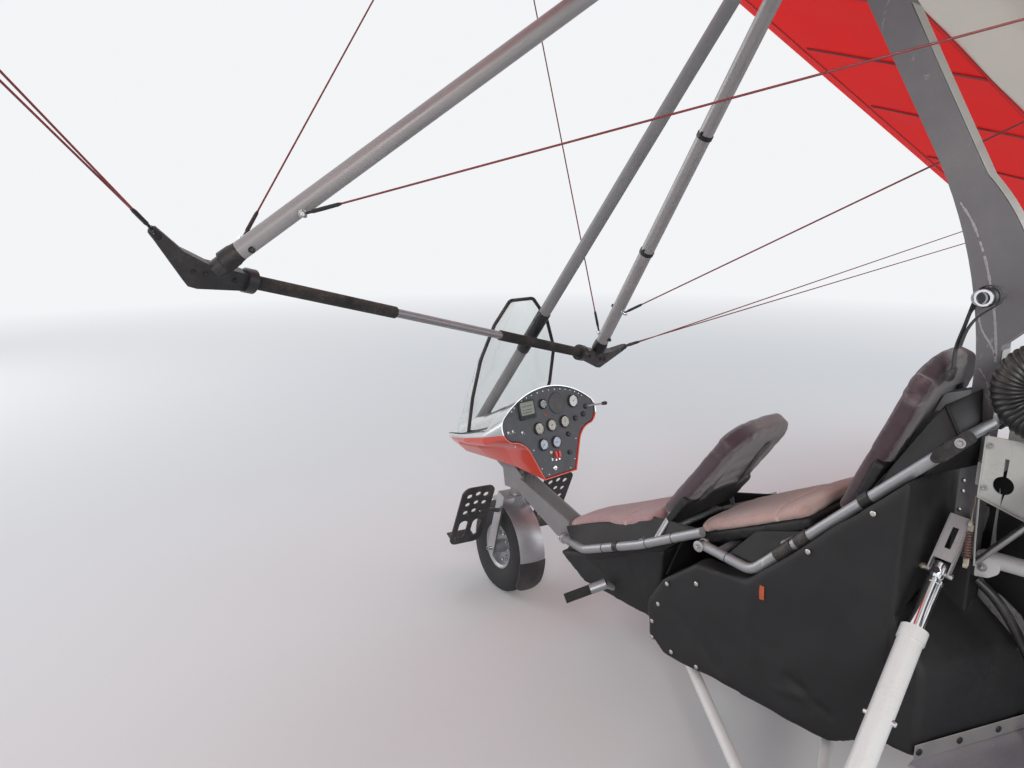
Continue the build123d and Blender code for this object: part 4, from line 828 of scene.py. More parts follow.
BLACK_WEBBING = finish(
    "black_webbing", (0.013, 0.013, 0.014), 0.74, sheen=0.2, dust=0.4, dirt=(0.13, 0.12, 0.11), patch=14,
    weave=(900, 0.3, 0.5)
)
backrest(
    "front_backrest", (-858, 690), (-612, 1040), 58,
    [(0, 184), (0.25, 189), (0.55, 186), (0.78, 182), (1, 166)], (34, 104), (112, 0.30, 0.80), 0.30,
    [[(-150, 0), (-142, 330), (-70, 372), (0, 380), (70, 372), (142, 330), (150, 0)], [(-150, 150), (150, 150)]],
)
backrest(
    "rear_backrest", (-298, 862), (-118, 1325), 56,
    [(0, 184), (0.28, 190), (0.52, 176), (0.64, 168), (0.82, 172), (1, 150)], (34, 128), (118, 0.34, 0.80), 0.40,
    [
        [(-152, 0), (-140, 330), (-128, 400), (-60, 442), (60, 442), (128, 400), (140, 330), (152, 0)],
        [(-148, 190), (148, 190)]
    ],
)
print("backrests", 2)

# %% [markdown]
# The black bodywork below the seats is coated cloth laced to the tubes, so it is slack
# between its fixings. Its closed form is skinned evenly, smoothed so that the edges roll over
# the frame inside, and then creased: broad shallow billows and a few sharp folds.

# %% Slack cloth
def noise(points, scale, seed):
    """Soft random swell between -1 and 1 for each point."""
    random.seed(seed)
    total = np.zeros(len(points))
    for k in range(9):
        way = np.array([random.gauss(0, 1) for axis in range(3)])
        along = points @ (way / np.linalg.norm(way)) * (2 * math.pi / scale)
        total += np.sin(along * random.uniform(0.6, 1.6) + random.uniform(0, 6.3))
    return total / 4.2


def normals_of(made):
    values = np.empty(len(made.data.vertices) * 3)
    made.data.vertices.foreach_get("normal", values)
    return values.reshape(-1, 3)


def relax(made, rounds):
    smooth = made.modifiers.new("rolled", "SMOOTH")
    smooth.factor = 0.5
    smooth.iterations = rounds
    return applied(made)


def billow(made, depth, scale, seed, folds=(), fixed=None):
    """Move the skin in and out, by soft noise and by folds given as lines."""
    local = local_points(made, TRIKE)
    move = depth * noise(local, scale, seed) + 0.35 * depth * noise(local, scale * 0.35, seed + 1)
    for a, b, width, rise, side in folds:
        flat = local[:, 1:]
        near = np.exp(-(gap_to(flat, [a, b]) / width) ** 2)
        move += rise * near * (np.sign(local[:, 0]) == side)
    if fixed is not None:
        move *= fixed(local)
    set_points(made, TRIKE, local + normals_of(made) * move[:, None])


# %% Cutting cloth
def thicken(made, thick):
    solid = made.modifiers.new("cloth", "SOLIDIFY")
    solid.thickness = thick / 1000
    solid.offset = -1
    applied(made)
    made.data.shade_smooth()


def cut(bm, point, normal):
    bmesh.ops.bisect_plane(
        bm, geom=bm.verts[:] + bm.edges[:] + bm.faces[:], plane_co=Vector(point), plane_no=Vector(normal)
    )


def open_up(made, planes, gone):
    """Cut the skin along planes and take away the faces that a test names."""
    bm = bmesh.new()
    bm.from_mesh(made.data)
    bmesh.ops.transform(bm, matrix=TRIKE.inverted(), verts=bm.verts)
    for point, normal in planes:
        cut(bm, point, normal)
    bm.normal_update()
    lost = [face for face in bm.faces if gone(face.calc_center_median(), face.normal)]
    bmesh.ops.delete(bm, geom=lost, context="FACES")
    bmesh.ops.transform(bm, matrix=TRIKE, verts=bm.verts)
    bm.to_mesh(made.data)
    bm.free()
    made.data.update()


def area_of(made):
    return sum(face.area for face in made.data.polygons)


def side_profile(bm, outline, half):
    return slab(bm, outline, -half, half, to=ALONGSIDE)


# %% Fairing
FAIRING_SIDE = [
    (-78, 1032), (-470, 632), (-560, 618), (-640, 618), (-762, 520), (-812, 430), (-800, 320),
    (-740, 272), (-200, 268), (-78, 344),
]
bm = bmesh.new()
side_profile(bm, FAIRING_SIDE, 268)
bmesh.ops.triangulate(bm, faces=[face for face in bm.faces if len(face.verts) > 4])
fairing = evened(piece("fairing_cloth", bm, BLACK_CLOTH), 0.010)
relax(fairing, 3)
FOLDS = [
    ((-330, 395), (-210, 345), 14, -7, 1), ((-360, 345), (-250, 372), 10, 5, 1),
    ((-300, 420), (-260, 330), 9, -4, 1),
    ((-700, 440), (-560, 330), 22, -4, 1), ((-200, 900), (-160, 560), 26, -4, 1),
    ((-470, 600), (-440, 400), 20, 3, 1),
    ((-330, 395), (-210, 345), 14, -6, -1), ((-700, 440), (-560, 330), 22, -4, -1),
    ((-200, 900), (-160, 560), 26, -4, -1),
]
billow(fairing, 2.6, 230, 4, FOLDS)


def mouth(center, normal):
    slope = 1032 + (center.y + 78) * 1.02 - 60
    return abs(center.x) < 200 and -722 < center.y < -90 and center.z > 505 and center.z > slope


MOUTH_PLANES = [((x, 0, 0), (1, 0, 0)) for x in (200, -200)] + [((0, y, 0), (0, 1, 0)) for y in (-90, -722)]
open_up(fairing, MOUTH_PLANES, mouth)
thicken(fairing, 2.4)
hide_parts("fairing")

# %% [markdown]
# Behind the wheels' line the fairing closes in a blunt point. Rows of points are enough for
# it: each row runs from one side to the other at one height, and the point lies to starboard
# of the middle, as the wall that shows behind the leg does.

# %% Fairing tail
TAIL_ROWS = [
    (343, 3, 160), (362, 3, 160), (420, 2, 158), (480, 2, 156), (540, 0, 152), (572, -4, 144), (590, -14, 124),
    (612, -34, 80), (640, -56, 28), (668, -72, -28), (690, -82, -60),
]
TAIL_POINT_X = -112
rows = []
bm = bmesh.new()
for z, side_y, point_y in TAIL_ROWS:
    row = []
    for j in range(-14, 15):
        x = j / 14 * 267
        point_x = TAIL_POINT_X * min(max((690 - z) / 118, 0), 1)
        across = abs(x - point_x) / (267 - point_x if x > point_x else 267 + point_x)
        y = point_y + (side_y - point_y) * across
        if abs(j) < 2 and -53 < y < 6:
            y = 6
        row.append(bm.verts.new((x, y, z + (1 - abs(j) / 14) * max(0, z - 572) * 0.25)))
    rows.append(row)
join_rows(bm, rows)
for side in (0, 28):
    edge = [row[side] for row in rows]
    join_rows(bm, [edge, [bm.verts.new((vert.co.x, -92, min(vert.co.z, 690))) for vert in edge]])
tail = piece("fairing_tail", bm, BLACK_CLOTH, crease=50)
tail.modifiers.new("finer", "SUBSURF").levels = 1
applied(tail)
tail.data.shade_smooth()
billow(tail, 2.2, 160, 12, fixed=lambda local: np.clip((local[:, 2] - 366) / 40, 0, 1))
thicken(tail, 2.4)

# %% [markdown]
# Below the front seat the same cloth makes a narrow belly, open at the top and slit below for
# the keel tube. It is made in the way of the fairing: a side outline, evened, relaxed, creased.

# %% Belly
bm = bmesh.new()
side_profile(bm, [(-1300, 398), (-1180, 318), (-835, 300), (-835, 560), (-880, 556), (-1150, 440)], 168)
belly = evened(piece("belly_cloth", bm, BLACK_CLOTH), 0.010)
relax(belly, 3)
billow(belly, 3.0, 190, 9, [((-1180, 420), (-1000, 350), 20, -5, 1), ((-1000, 500), (-900, 330), 16, -5, 1)])


def belly_mouth(center, normal):
    slot = abs(center.x) < 34 and center.z < 425
    top = abs(center.x) < 140 and normal.z > 0.5 and center.y > -1290
    return slot or top


open_up(belly, [((x, 0, 0), (1, 0, 0)) for x in (34, -34, 140, -140)], belly_mouth)
thicken(belly, 2.2)
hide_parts("front_belly")


# %% [markdown]
# Between tubes, seats and mast hang plain panels of the same cloth. Each is a grid between
# two edges that are fixed, with the slack falling inward between them.

# %% Cloth panels
def panel_between(name, first, second, slack, seed, steps=14, thick=2.2, body="airframe"):
    first, second = smooth_run(first, 7), smooth_run(second, 7)
    bm = bmesh.new()
    rows = []
    for k in range(steps + 1):
        share = k / steps
        rows.append([bm.verts.new(a.lerp(b, share)) for a, b in zip(first, second)])
    join_rows(bm, rows)
    made = piece(name, bm, BLACK_CLOTH, body, crease=60)
    local = local_points(made, TRIKE)
    count = len(first)
    share = np.repeat(np.arange(steps + 1) / steps, count)
    along = np.tile(np.arange(count) / (count - 1), steps + 1)
    hold = np.sin(math.pi * share) * np.sin(math.pi * along) ** 0.5
    move = hold * (slack + 0.5 * abs(slack) * noise(local, 150, seed))
    inward = -np.sign(local[:, 0])
    local[:, 0] += inward * move
    set_points(made, TRIKE, local)
    thicken(made, thick)
    return made


for side, word in SIDES:
    panel_between(
        f"{word}_seat_web",
        [(side * 190, -8, 1128), (side * 222, -232, 884), (side * 240, -430, 690), (side * 226, -560, 668)],
        [(side * 146, -66, 1196), (side * 184, -165, 1010), (side * 188, -262, 838), (side * 188, -500, 745)],
        10, 21 + side,
    )
    panel_between(
        f"{word}_front_web",
        [(side * 208, -672, 690), (side * 210, -885, 578), (side * 186, -1150, 462), (side * 112, -1290, 418)],
        [(side * 168, -840, 555), (side * 168, -900, 530), (side * 168, -1130, 425), (side * 150, -1285, 392)],
        6, 31 + side,
    )
    panel_between(
        f"{word}_front_skirt",
        [(side * 212, -668, 704), (side * 212, -885, 590), (side * 186, -1150, 474), (side * 108, -1300, 424)],
        [(side * 170, -872, 668), (side * 176, -900, 645), (side * 122, -1150, 545), (side * 108, -1322, 470)],
        5, 41 + side,
    )
for (side, word), seed in zip(SIDES, (51, 52)):
    panel_between(
        f"mast_web_{word}", [(side * 38, -24, 1222), (side * 38, -16, 1130)],
        [(side * 154, -64, 1196), (side * 198, -4, 1126)], 6, seed,
    )
for side, word in SIDES:
    panel_between(
        f"{word}_back_web", [(side * 38, -14, 1134), (side * 38, -16, 1034)],
        [(side * 194, -8, 1132), (side * 204, -78, 1030)], 5, 55 + side,
    )
panel_between(
    "seat_curtain", [(196, -742, 640), (70, -752, 630), (-70, -752, 630), (-196, -742, 640)],
    [(190, -800, 500), (70, -790, 480), (-70, -790, 480), (-190, -800, 500)], 0.1, 61,
)
# %% Mast boot
bm = bmesh.new()
boot = soften([(-42, -57), (42, -57), (42, 7), (-42, 7)], 9, 4)
rings = []
for z, grow in ((628, 1.10), (660, 1.04), (700, 0.99), (740, 1.02), (770, 0.98), (788, 1.0), (790, 0.93)):
    rings.append([bm.verts.new((x * grow, -25 + (y + 25) * grow, z)) for x, y in boot])
join_rings(bm, rings)
mast_boot = piece("mast_boot", bm, BLACK_CLOTH)
thicken(mast_boot, 1.6)
print("cloth panels", 12)

# %% [markdown]
# Fasteners are what the eye reads as scale, so bolts, nuts, domed rivets and press snaps are
# small turned shapes with their real steps and flats, placed where the photograph has them.

# %% Fasteners
def hex_head(bm, at_point, along, across, height, paint=0):
    axis = Vector(along).normalized()
    rows = [(0, across * 0.577), (height * 0.8, across * 0.577), (height, across * 0.5)]
    return turned(bm, at_point, axis, rows, 6, paint)


def bolt(bm, at_point, along, across=10, paint=0):
    axis = Vector(along).normalized()
    start = Vector(at_point)
    turned(bm, start, axis, [(0, across * 0.9), (1.6, across * 0.9), (1.6, across * 0.5)], 20, paint)
    hex_head(bm, start + axis * 1.6, axis, across, across * 0.55, paint)
    turned(
        bm, start + axis * (1.6 + across * 0.5), axis,
        [(0, across * 0.3), (across * 0.35, across * 0.3), (across * 0.42, across * 0.22)], 12, paint
    )


def rivet(bm, at_point, along, radius, paint=0):
    turned(bm, at_point, along, [(-0.6, radius), (0.1 * radius, radius), (0.35 * radius, radius * 0.86),
                                 (0.52 * radius, radius * 0.5), (0.58 * radius, radius * 0.1)], 16, paint)


def snap(bm, at_point, along, radius, ring=1, cap=0):
    turned(bm, at_point, along, [(-0.6, radius * 1.25), (0.7, radius * 1.25), (1.2, radius * 1.1)], 20, ring)
    turned(
        bm, at_point, along,
        [(0.6, radius), (1.8, radius), (2.8, radius * 0.8), (3.1, radius * 0.35), (2.6, radius * 0.12)], 20, cap
    )


# %% Snaps and the tag
NICKEL = finish("nickel_snap", (0.62, 0.60, 0.56), 0.24, metal=1.0, dust=0.35, grain=(500, 0.1))
TAG_ORANGE = finish("orange_tag", (0.55, 0.10, 0.03), 0.7, dust=0.3, weave=(500, 0.4, 0.3))
SLEEVE_BLACK = finish("rubber_sleeve", (0.010, 0.010, 0.011), 0.50, dust=0.35, patch=16, grain=(320, 0.2))
SNAPS = [(-738, 516), (-634, 557), (-768, 436), (-788, 369), (-785, 314), (-710, 296), (-617, 289)]
bm = bmesh.new()
for side in (1, -1):
    for y, z in SNAPS:
        snap(bm, (side * 269.2, y, z), (side, 0, 0), 6.5)
    for y, z in ((-305, 784), (-154, 936)):
        snap(bm, (side * 269.2, y, z - 8), (side, 0, 0), 7)
piece("fairing_snaps", bm, [NICKEL, BLACK_PLASTIC])
bm = bmesh.new()
tag = [(0, 0), (13, -1), (15, -40), (2, -42), (-1, -20)]
slab(bm, tag, 0, 1.6, 0.5, to=Matrix.Translation((270.6, -430, 634)) @ ALONGSIDE)
piece("orange_tag", bm, TAG_ORANGE)
print("snaps", 2 * (len(SNAPS) + 2))

# %% [markdown]
# The seat tubes are plain aluminium. What breaks them up is what holds the cloth to them:
# black rubber sleeves, thin cable ties, and the black end plates with a hexagon bolt.

# %% Seat tube fittings
REAR_TUBE = (Vector((200, 5, 1140)), Vector((250, -470, 655)))
FRONT_TUBE = (Vector((222, -655, 700)), Vector((222, -887, 580)), Vector((196, -1152, 462)))


def on_tube(bm, start, end, low, high, radius, paint=0, side=1):
    a, b = start.lerp(end, low), start.lerp(end, high)
    if side < 0:
        a, b = Vector((-a.x, a.y, a.z)), Vector((-b.x, b.y, b.z))
    length = (b - a).length
    rows = [(0, radius - 1.6), (1.5, radius), (length - 1.5, radius), (length, radius - 1.6)]
    return turned(bm, a, b - a, rows, 28, paint)


for side, word in SIDES:
    bm = bmesh.new()
    for low, high in ((0.072, 0.118), (0.392, 0.438), (0.690, 0.752), (0.772, 0.862)):
        on_tube(bm, *REAR_TUBE, low, high, 18.6, 0, side)
    on_tube(bm, FRONT_TUBE[1], FRONT_TUBE[2], 0.34, 0.42, 18.2, 0, side)
    for a, b, share in ((0, 1, 0.435), (0, 1, 0.86), (1, 2, 0.61)):
        on_tube(bm, FRONT_TUBE[a], FRONT_TUBE[b], share, share + 0.014, 16.4, 0, side)
    on_tube(bm, Vector((250, -470, 655)), Vector((226, -640, 662)), 0.50, 0.515, 16.4, 0, side)
    plate = soften([(-15, -22), (15, -22), (17, 60), (9, 88), (-9, 88), (-17, 60)], 8, 3)
    run = (REAR_TUBE[1] - REAR_TUBE[0]).normalized()
    out = Vector((1, 0.1, 0)).normalized()
    across = run.cross(out).normalized()
    seat = Vector((200, 5, 1140)) + run * 2 + out * 15.5
    to = placed(seat, across, run, out)
    if side < 0:
        to = MIRROR @ to
    slab(bm, plate, 0, 3.5, 0.8, 0, to)
    head = to @ Vector((0, 12, 3.5))
    aim = (to.to_3x3() @ Vector((0, 0, 1))).normalized()
    bolt(bm, head, aim, 13, 1)
    eye = Vector((side * 226, -652, 662))
    turned(
        bm, eye - Vector((19, 0, 0)), (1, 0, 0),
        [(0, 15), (1, 17), (8, 17), (9, 14), (29, 14), (30, 17), (37, 17), (38, 15)], 24, 1
    )
    bolt(bm, eye + Vector((side * 19, 0, 0)), (side, 0, 0), 11, 1)
    ring = Vector((side * 74, -1366, 392))
    turned(bm, ring - Vector((side * 10, 0, 0)), (side, 0, 0), [(0, 15), (2, 17), (18, 17), (20, 15)], 22, 1)
    bolt(bm, ring + Vector((side * 10, 0, 0)), (side, 0, 0), 11, 1)
    piece(f"{word}_tube_fittings", bm, [SLEEVE_BLACK, STEEL])
print("tube fittings", 2)

# %% [markdown]
# Each leg hangs from a pressed channel with a slot in it. The rod's eye sits in the channel
# on a bolt, and a brass nut shows at its side. The CAD plates hold the space; the channel
# here shows the pressing.

# %% Leg brackets
LEG_PIN = Vector((140, -38, 776))
LEG_FOOT = Vector((738, -14, 246))


def on_side(side, point):
    return Vector((side * point.x, point.y, point.z))


def channel(side):
    bm = bmesh.new()
    top, low = Vector((58, -26, 900)), Vector((138, -36, 786))
    run = (low - top).normalized()
    out = Vector((0.82, 0.10, 0.56))
    out = (out - run * out.dot(run)).normalized()
    across = run.cross(out).normalized()
    to = placed(top + out * 7, across, run, out)
    length = (low - top).length
    half = 23
    web_end = length - 22
    for outline in (
        [(-half, 0), (half, 0), (half, 32), (-half, 32)],
        [(-half, 32), (-7, 32), (-7, 88), (-half, 88)],
        [(7, 32), (half, 32), (half, 88), (7, 88)],
        [(-half, 88), (half, 88), (half, web_end), (-half, web_end)],
    ):
        slab(bm, outline, -3, 0, 0, 0, to)
    for x in (-half, half):
        flange = Matrix.Translation((x, 0, 0)) @ Matrix(((0, 0, 1, 0), (1, 0, 0, 0), (0, -1, 0, 0), (0, 0, 0, 1)))
        outline = soften([(0, 0), (length + 16, 0), (length + 16, 34), (0, 30)], [2, 14, 16, 6], 5)
        slab(bm, outline, -1.6, 1.6, 0.7, 0, to @ flange)
    pin = LEG_PIN
    turned(bm, pin - across * 34, across, [(0, 7), (68, 7)], 16, 1)
    turned(bm, pin - run * 26, run, [(0, 12), (4, 17), (12, 19), (38, 19), (44, 16), (50, 14)], 32, 2)
    turned(bm, pin + out * 14, out, [(0, 8), (7, 8), (9, 6)], 20, 4)
    hex_head(bm, pin + across * 30, across, 15, 9, 3)
    turned(bm, pin + across * 39, across, [(0, 4.2), (8, 4.2), (9, 3)], 12, 3)
    hex_head(bm, pin - across * 27, -across, 13, 8, 1)
    if side < 0:
        bmesh.ops.transform(bm, matrix=MIRROR, verts=bm.verts)
    return bm


# %% Channels and chrome rods
BRASS = finish("dull_brass_nut", (0.62, 0.55, 0.40), 0.35, metal=0.9, dust=0.3, grain=(400, 0.1))
GREY_PRESSING = finish(
    "grey_pressing", (0.40, 0.40, 0.41), 0.42, metal=0.35, scuff=0.6, bare=(0.65, 0.65, 0.66), dust=0.4,
    dirt=(0.20, 0.17, 0.14), patch=15, grain=(380, 0.12)
)
for side, word in SIDES:
    bracket = piece(
        f"{word}_leg_channel", channel(side), [GREY_PRESSING, STEEL, CHROME, BRASS, BLACK_PLASTIC], crease=30
    )
    if side > 0:
        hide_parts("leg_brackets")
# The rods themselves: chrome, with the collar below the eye
bm = bmesh.new()
for side in (1, -1):
    pin, foot = on_side(side, LEG_PIN), on_side(side, LEG_FOOT)
    run = (foot - pin).normalized()
    turned(bm, pin + run * 24, run, [(0, 15), (2, 22), (11, 22), (13, 20), (150, 20)], 40)
rods = piece("leg_chrome", bm, CHROME)
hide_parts("leg_rods")
print("leg channels", 2)

# %% [markdown]
# Behind the mast's foot a coil spring holds up the leg, and white plates carry the engine.
# The spring is a pipe along a helix. The plates are slabs, and the one with the keyhole is
# laid in two halves that meet along the hole, because a slab takes an outline and no holes.

# %% Spring
def coil(bm, start, end, radius, wire, turns, paint=0, steps=18):
    start, end = Vector(start), Vector(end)
    axis = (end - start).normalized()
    side = axis.orthogonal().normalized()
    up = axis.cross(side)
    points = []
    for k in range(turns * steps + 1):
        angle = 2 * math.pi * k / steps
        share = k / (turns * steps)
        points.append(start.lerp(end, share) + (side * math.cos(angle) + up * math.sin(angle)) * radius)
    return pipe(bm, points, wire, 8, paint=paint)


SPRING = finish(
    "rusty_spring", (0.34, 0.20, 0.17), 0.5, metal=0.6, dust=0.5, dirt=(0.30, 0.12, 0.06), patch=30,
    grain=(400, 0.3)
)
CREAM = finish("cream_hook", (0.62, 0.56, 0.46), 0.5, metal=0.2, dust=0.4, grain=(400, 0.15))
bm = bmesh.new()
top, low = Vector((78, 2, 896)), Vector((76, 2, 788))
coil(bm, top.lerp(low, 0.16), top.lerp(low, 0.84), 8, 1.5, 10)
for a, b, c in ((0.0, 0.17, 1), (1.0, 0.83, -1)):
    start, end = top.lerp(low, a), top.lerp(low, b)
    ribbon(bm, [start, start.lerp(end, 0.5), end], (0.2, 1, 0), 15, 4, 1)
    turned(bm, start + Vector((0, -4, 0)), (0, 1, 0), [(0, 8), (8, 8)], 16, 1)
wire = smooth_run([(78, 2, 900), (70, 0, 925), (56, -2, 940), (44, -6, 958)], 5)
pipe(bm, wire, 1.3, 8, paint=1)
piece("leg_spring", bm, [SPRING, CREAM])

# %% Engine plates
WHITE_PLATE = finish(
    "white_engine_plate", (0.56, 0.57, 0.54), 0.42, scuff=0.5, bare=(0.30, 0.28, 0.24), dust=0.55,
    dirt=(0.22, 0.19, 0.15), patch=11, grain=(300, 0.1)
)
bm = bmesh.new()
hole = [
    (61 + 22 * math.cos(a), 1015 + 22 * math.sin(a))
    for a in [math.radians(100 + 340 * k / 24) for k in range(25)]
]


def plate_with_keyhole(bm, low, high, mirror_side, paint):
    """Plate in two halves that meet along the keyhole."""
    rim = [(12, 978), (12, 1126), (61, 1126), (61, 1080), (57, 1080)]
    rim += [p for p in sorted(hole, key=lambda p: -p[1]) if p[0] <= 61] + [(61, 962)]
    slab(bm, rim, low, high, 0, paint, mirror_side @ ALONGSIDE)
    rim = [(61, 962)] + [p for p in sorted(hole, key=lambda p: p[1]) if p[0] > 61]
    rim += [(66, 1080), (61, 1080), (61, 1126), (150, 1126), (150, 936)]
    slab(bm, rim, low, high, 0, paint, mirror_side @ ALONGSIDE)


for side in (1, -1):
    mirrored = Matrix.Diagonal((side, 1, 1, 1))
    plate_with_keyhole(bm, 92, 96, mirrored, 0)
    ribbon(bm, [(side * 94, 14, 1126), (side * 94, 14, 978)], (side, 0, 0), 26, 3, 0)
    ribbon(bm, [(side * 92, 14, 978), (side * 80, 16, 860), (side * 68, 18, 792)], (side * 0.9, 0.3, 0), 20, 4, 0)
    ribbon(bm, [(side * 94, 12, 977), (side * 94, 150, 935)], (side, 0, 0), 22, 3, 0)
    pipe(bm, smooth_run([(side * 34, 12, 786), (side * 34, 55, 842), (side * 34, 110, 916)], 3), 8, 14, paint=1)
    bolt(bm, (side * 34, 108, 924), (0, 0.3, 1), 12, 1)
    for y, z in ((24, 1104), (24, 1000), (136, 1106), (134, 968)):
        bolt(bm, (side * 96, y, z), (side, 0, 0), 9, 1)
for near, far in ((1, 22), (121, 149)):
    slab(bm, [(-92, 1002), (92, 1002), (92, 1058), (-92, 1058)], near, far, 3, 0, ACROSS)
turned(bm, (0, 4, 790), (0, 1, 0.02), [(0, 14), (10, 19), (26, 21), (400, 20), (412, 20), (414, 17)], 28, 2)
lug = soften([(8, 742), (8, 806), (40, 802), (62, 788), (62, 766), (40, 748)], 7, 3)
for near, far in ((15, 21), (-21, -15)):
    slab(bm, lug, near, far, 1.2, 2, ALONGSIDE)
bolt(bm, (21, 24, 772), (1, 0, 0), 13, 1)
turned(bm, (0, 405, 800), (0, 0, 1), [(0, 18), (112, 18)], 22, 2)
mount = piece("engine_frame", bm, [WHITE_PLATE, STEEL, WHITE_COAT], crease=30)
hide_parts("engine_mount")

# %% Shield, hose and bay cloths
# The heavy soot on this shield and the two black cloths below darken the engine bay: partly guessed soot and
# cowling, partly painted shade for the bay's shadow.
SOOT_AND_SHADE = finish(
    "sooty_plate_painted_shade", (0.30, 0.30, 0.30), 0.6, metal=0.5, scuff=0.9, bare=(0.52, 0.50, 0.48), dust=1.0,
    dirt=(0.015, 0.014, 0.013), patch=38, variation=0.35, grain=(260, 0.3)
)
bm = bmesh.new()
slab(
    bm, soften([(8, 560), (8, 700), (60, 690), (108, 655), (140, 600), (150, 560)], 6, 3), -36, -33, 0.8, 0,
    ALONGSIDE
)
piece("sooty_shield", bm, SOOT_AND_SHADE)
bm = bmesh.new()
pipe(
    bm,
    smooth_run(
        [
            (36, 20, 742), (34, 60, 712), (28, 96, 668), (20, 128, 612), (16, 172, 530), (14, 190, 430),
            (14, 192, 341)
        ],
        6
    ),
    12, 18
)
piece("breather_hose", bm, HOSE_BLACK)
# These two black cloths fill the engine bay's shadow: painted shade, in the shape of a guessed cowling.
panel_between(
    "engine_bay_cloth", [(-262, 14, 940), (-262, 200, 935), (-262, 428, 930)],
    [(-262, 14, 348), (-262, 200, 345), (-262, 418, 345)], 6, 71,
)
panel_between(
    "firewall_cloth", [(-84, -46, 1010), (-84, 50, 1010), (-84, 146, 1010)],
    [(-84, -46, 600), (-84, 50, 600), (-84, 146, 600)], 5, 72,
)
print("engine frame", len(mount.data.polygons))

# %% [markdown]
# The tray's edge strip is bare aluminium, held by dark round rivets that follow the fairing's
# tail. One is modelled and a node network sets it along the line at an even pitch, which is
# how the holes would be drilled.

# %% Copies along a line
def along_line(name, source, line, count, facing, material):
    """Copies of a piece's mesh at even steps along a line, made with geometry nodes."""
    tree = bpy.data.node_groups.new(name, "GeometryNodeTree")
    tree.interface.new_socket("Geometry", in_out="INPUT", socket_type="NodeSocketGeometry")
    steps = tree.interface.new_socket("Count", in_out="INPUT", socket_type="NodeSocketInt")
    turn = tree.interface.new_socket("Turn", in_out="INPUT", socket_type="NodeSocketRotation")
    tree.interface.new_socket("Geometry", in_out="OUTPUT", socket_type="NodeSocketGeometry")
    given, out = tree.nodes.new("NodeGroupInput"), tree.nodes.new("NodeGroupOutput")
    curve = tree.nodes.new("GeometryNodeMeshToCurve")
    points = tree.nodes.new("GeometryNodeCurveToPoints")
    points.mode = "COUNT"
    model = tree.nodes.new("GeometryNodeObjectInfo")
    model.inputs["Object"].default_value = source
    copies = tree.nodes.new("GeometryNodeInstanceOnPoints")
    real = tree.nodes.new("GeometryNodeRealizeInstances")
    coat = tree.nodes.new("GeometryNodeSetMaterial")
    coat.inputs["Material"].default_value = material
    tree.links.new(given.outputs["Geometry"], curve.inputs["Mesh"])
    tree.links.new(curve.outputs["Curve"], points.inputs["Curve"])
    tree.links.new(given.outputs["Count"], points.inputs["Count"])
    tree.links.new(points.outputs["Points"], copies.inputs["Points"])
    tree.links.new(model.outputs["Geometry"], copies.inputs["Instance"])
    tree.links.new(given.outputs["Turn"], copies.inputs["Rotation"])
    tree.links.new(copies.outputs["Instances"], real.inputs["Geometry"])
    tree.links.new(real.outputs["Geometry"], coat.inputs["Geometry"])
    tree.links.new(coat.outputs["Geometry"], out.inputs["Geometry"])
    bm = bmesh.new()
    verts = [bm.verts.new(TRIKE @ Vector(point)) for point in line]
    for a, b in zip(verts, verts[1:]):
        bm.edges.new((a, b))
    mesh = bpy.data.meshes.new(name)
    bm.to_mesh(mesh)
    bm.free()
    made = bpy.data.objects.new(name, mesh)
    scene.collection.objects.link(made)
    modifier = made.modifiers.new("copies", "NODES")
    modifier.node_group = tree
    modifier[steps.identifier] = count
    modifier[turn.identifier] = Vector(facing).to_track_quat("Z", "Y").to_euler()
    applied(made)
    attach(made, "airframe")
    return made


# %% Tail strip
ALUMINIUM_STRIP = finish(
    "aluminium_strip", (0.46, 0.45, 0.44), 0.42, metal=0.75, scuff=0.5, dust=0.4, patch=18, grain=(420, 0.1)
)
DARK_RIVET = finish("dark_rivet", (0.02, 0.02, 0.022), 0.4, metal=0.3, dust=0.2, grain=(400, 0.1))
bm = bmesh.new()
line = [(274, 6.5, 362), (TAIL_POINT_X, 169.9, 362), (-275, 5.5, 362)]
for a, b in zip(line, line[1:]):
    ribbon(bm, [a, b], (0, 0, 1), 42, 2.4)
for side in (1, -1):
    ribbon(bm, [(side * 296, 6, 341.2), (side * 296, 415, 341.2)], (1, 0, 0), 6, 2.5)
piece("tail_strip", bm, ALUMINIUM_STRIP, crease=20)
bm = bmesh.new()
turned(bm, (0, 0, 0), (0, 0, 1), [(-0.5, 9), (1.4, 9), (2.6, 7.4), (3.2, 4), (3.3, 0.4)], 20)
rivet_seed = piece("rivet_seed", bm, DARK_RIVET, frame_at=Matrix.Scale(0.001, 4))
TAIL_RUNS = (
    (1, "port", 4, (262, 11.6, 362), (-94, 162.3, 362)),
    (-1, "starboard", 3, (-262, 18.6, 362), (-130, 151.7, 362))
)
for side, word, count, end, point in TAIL_RUNS:
    end, point = Vector(end), Vector(point)
    run = (point - end).normalized()
    out = Vector((-run.y, run.x, 0)) * (-side)
    along_line(f"{word}_tail_rivets", rivet_seed, [end + out * 1.8, point + out * 1.8], count, out, DARK_RIVET)
bpy.data.objects.remove(rivet_seed)
print("strip", 4)

# %% [markdown]
# The cooling hose is a spiral-ribbed one. A ring of ribs on one smooth path gives its
# outline the saw-tooth edge that it has against the light.

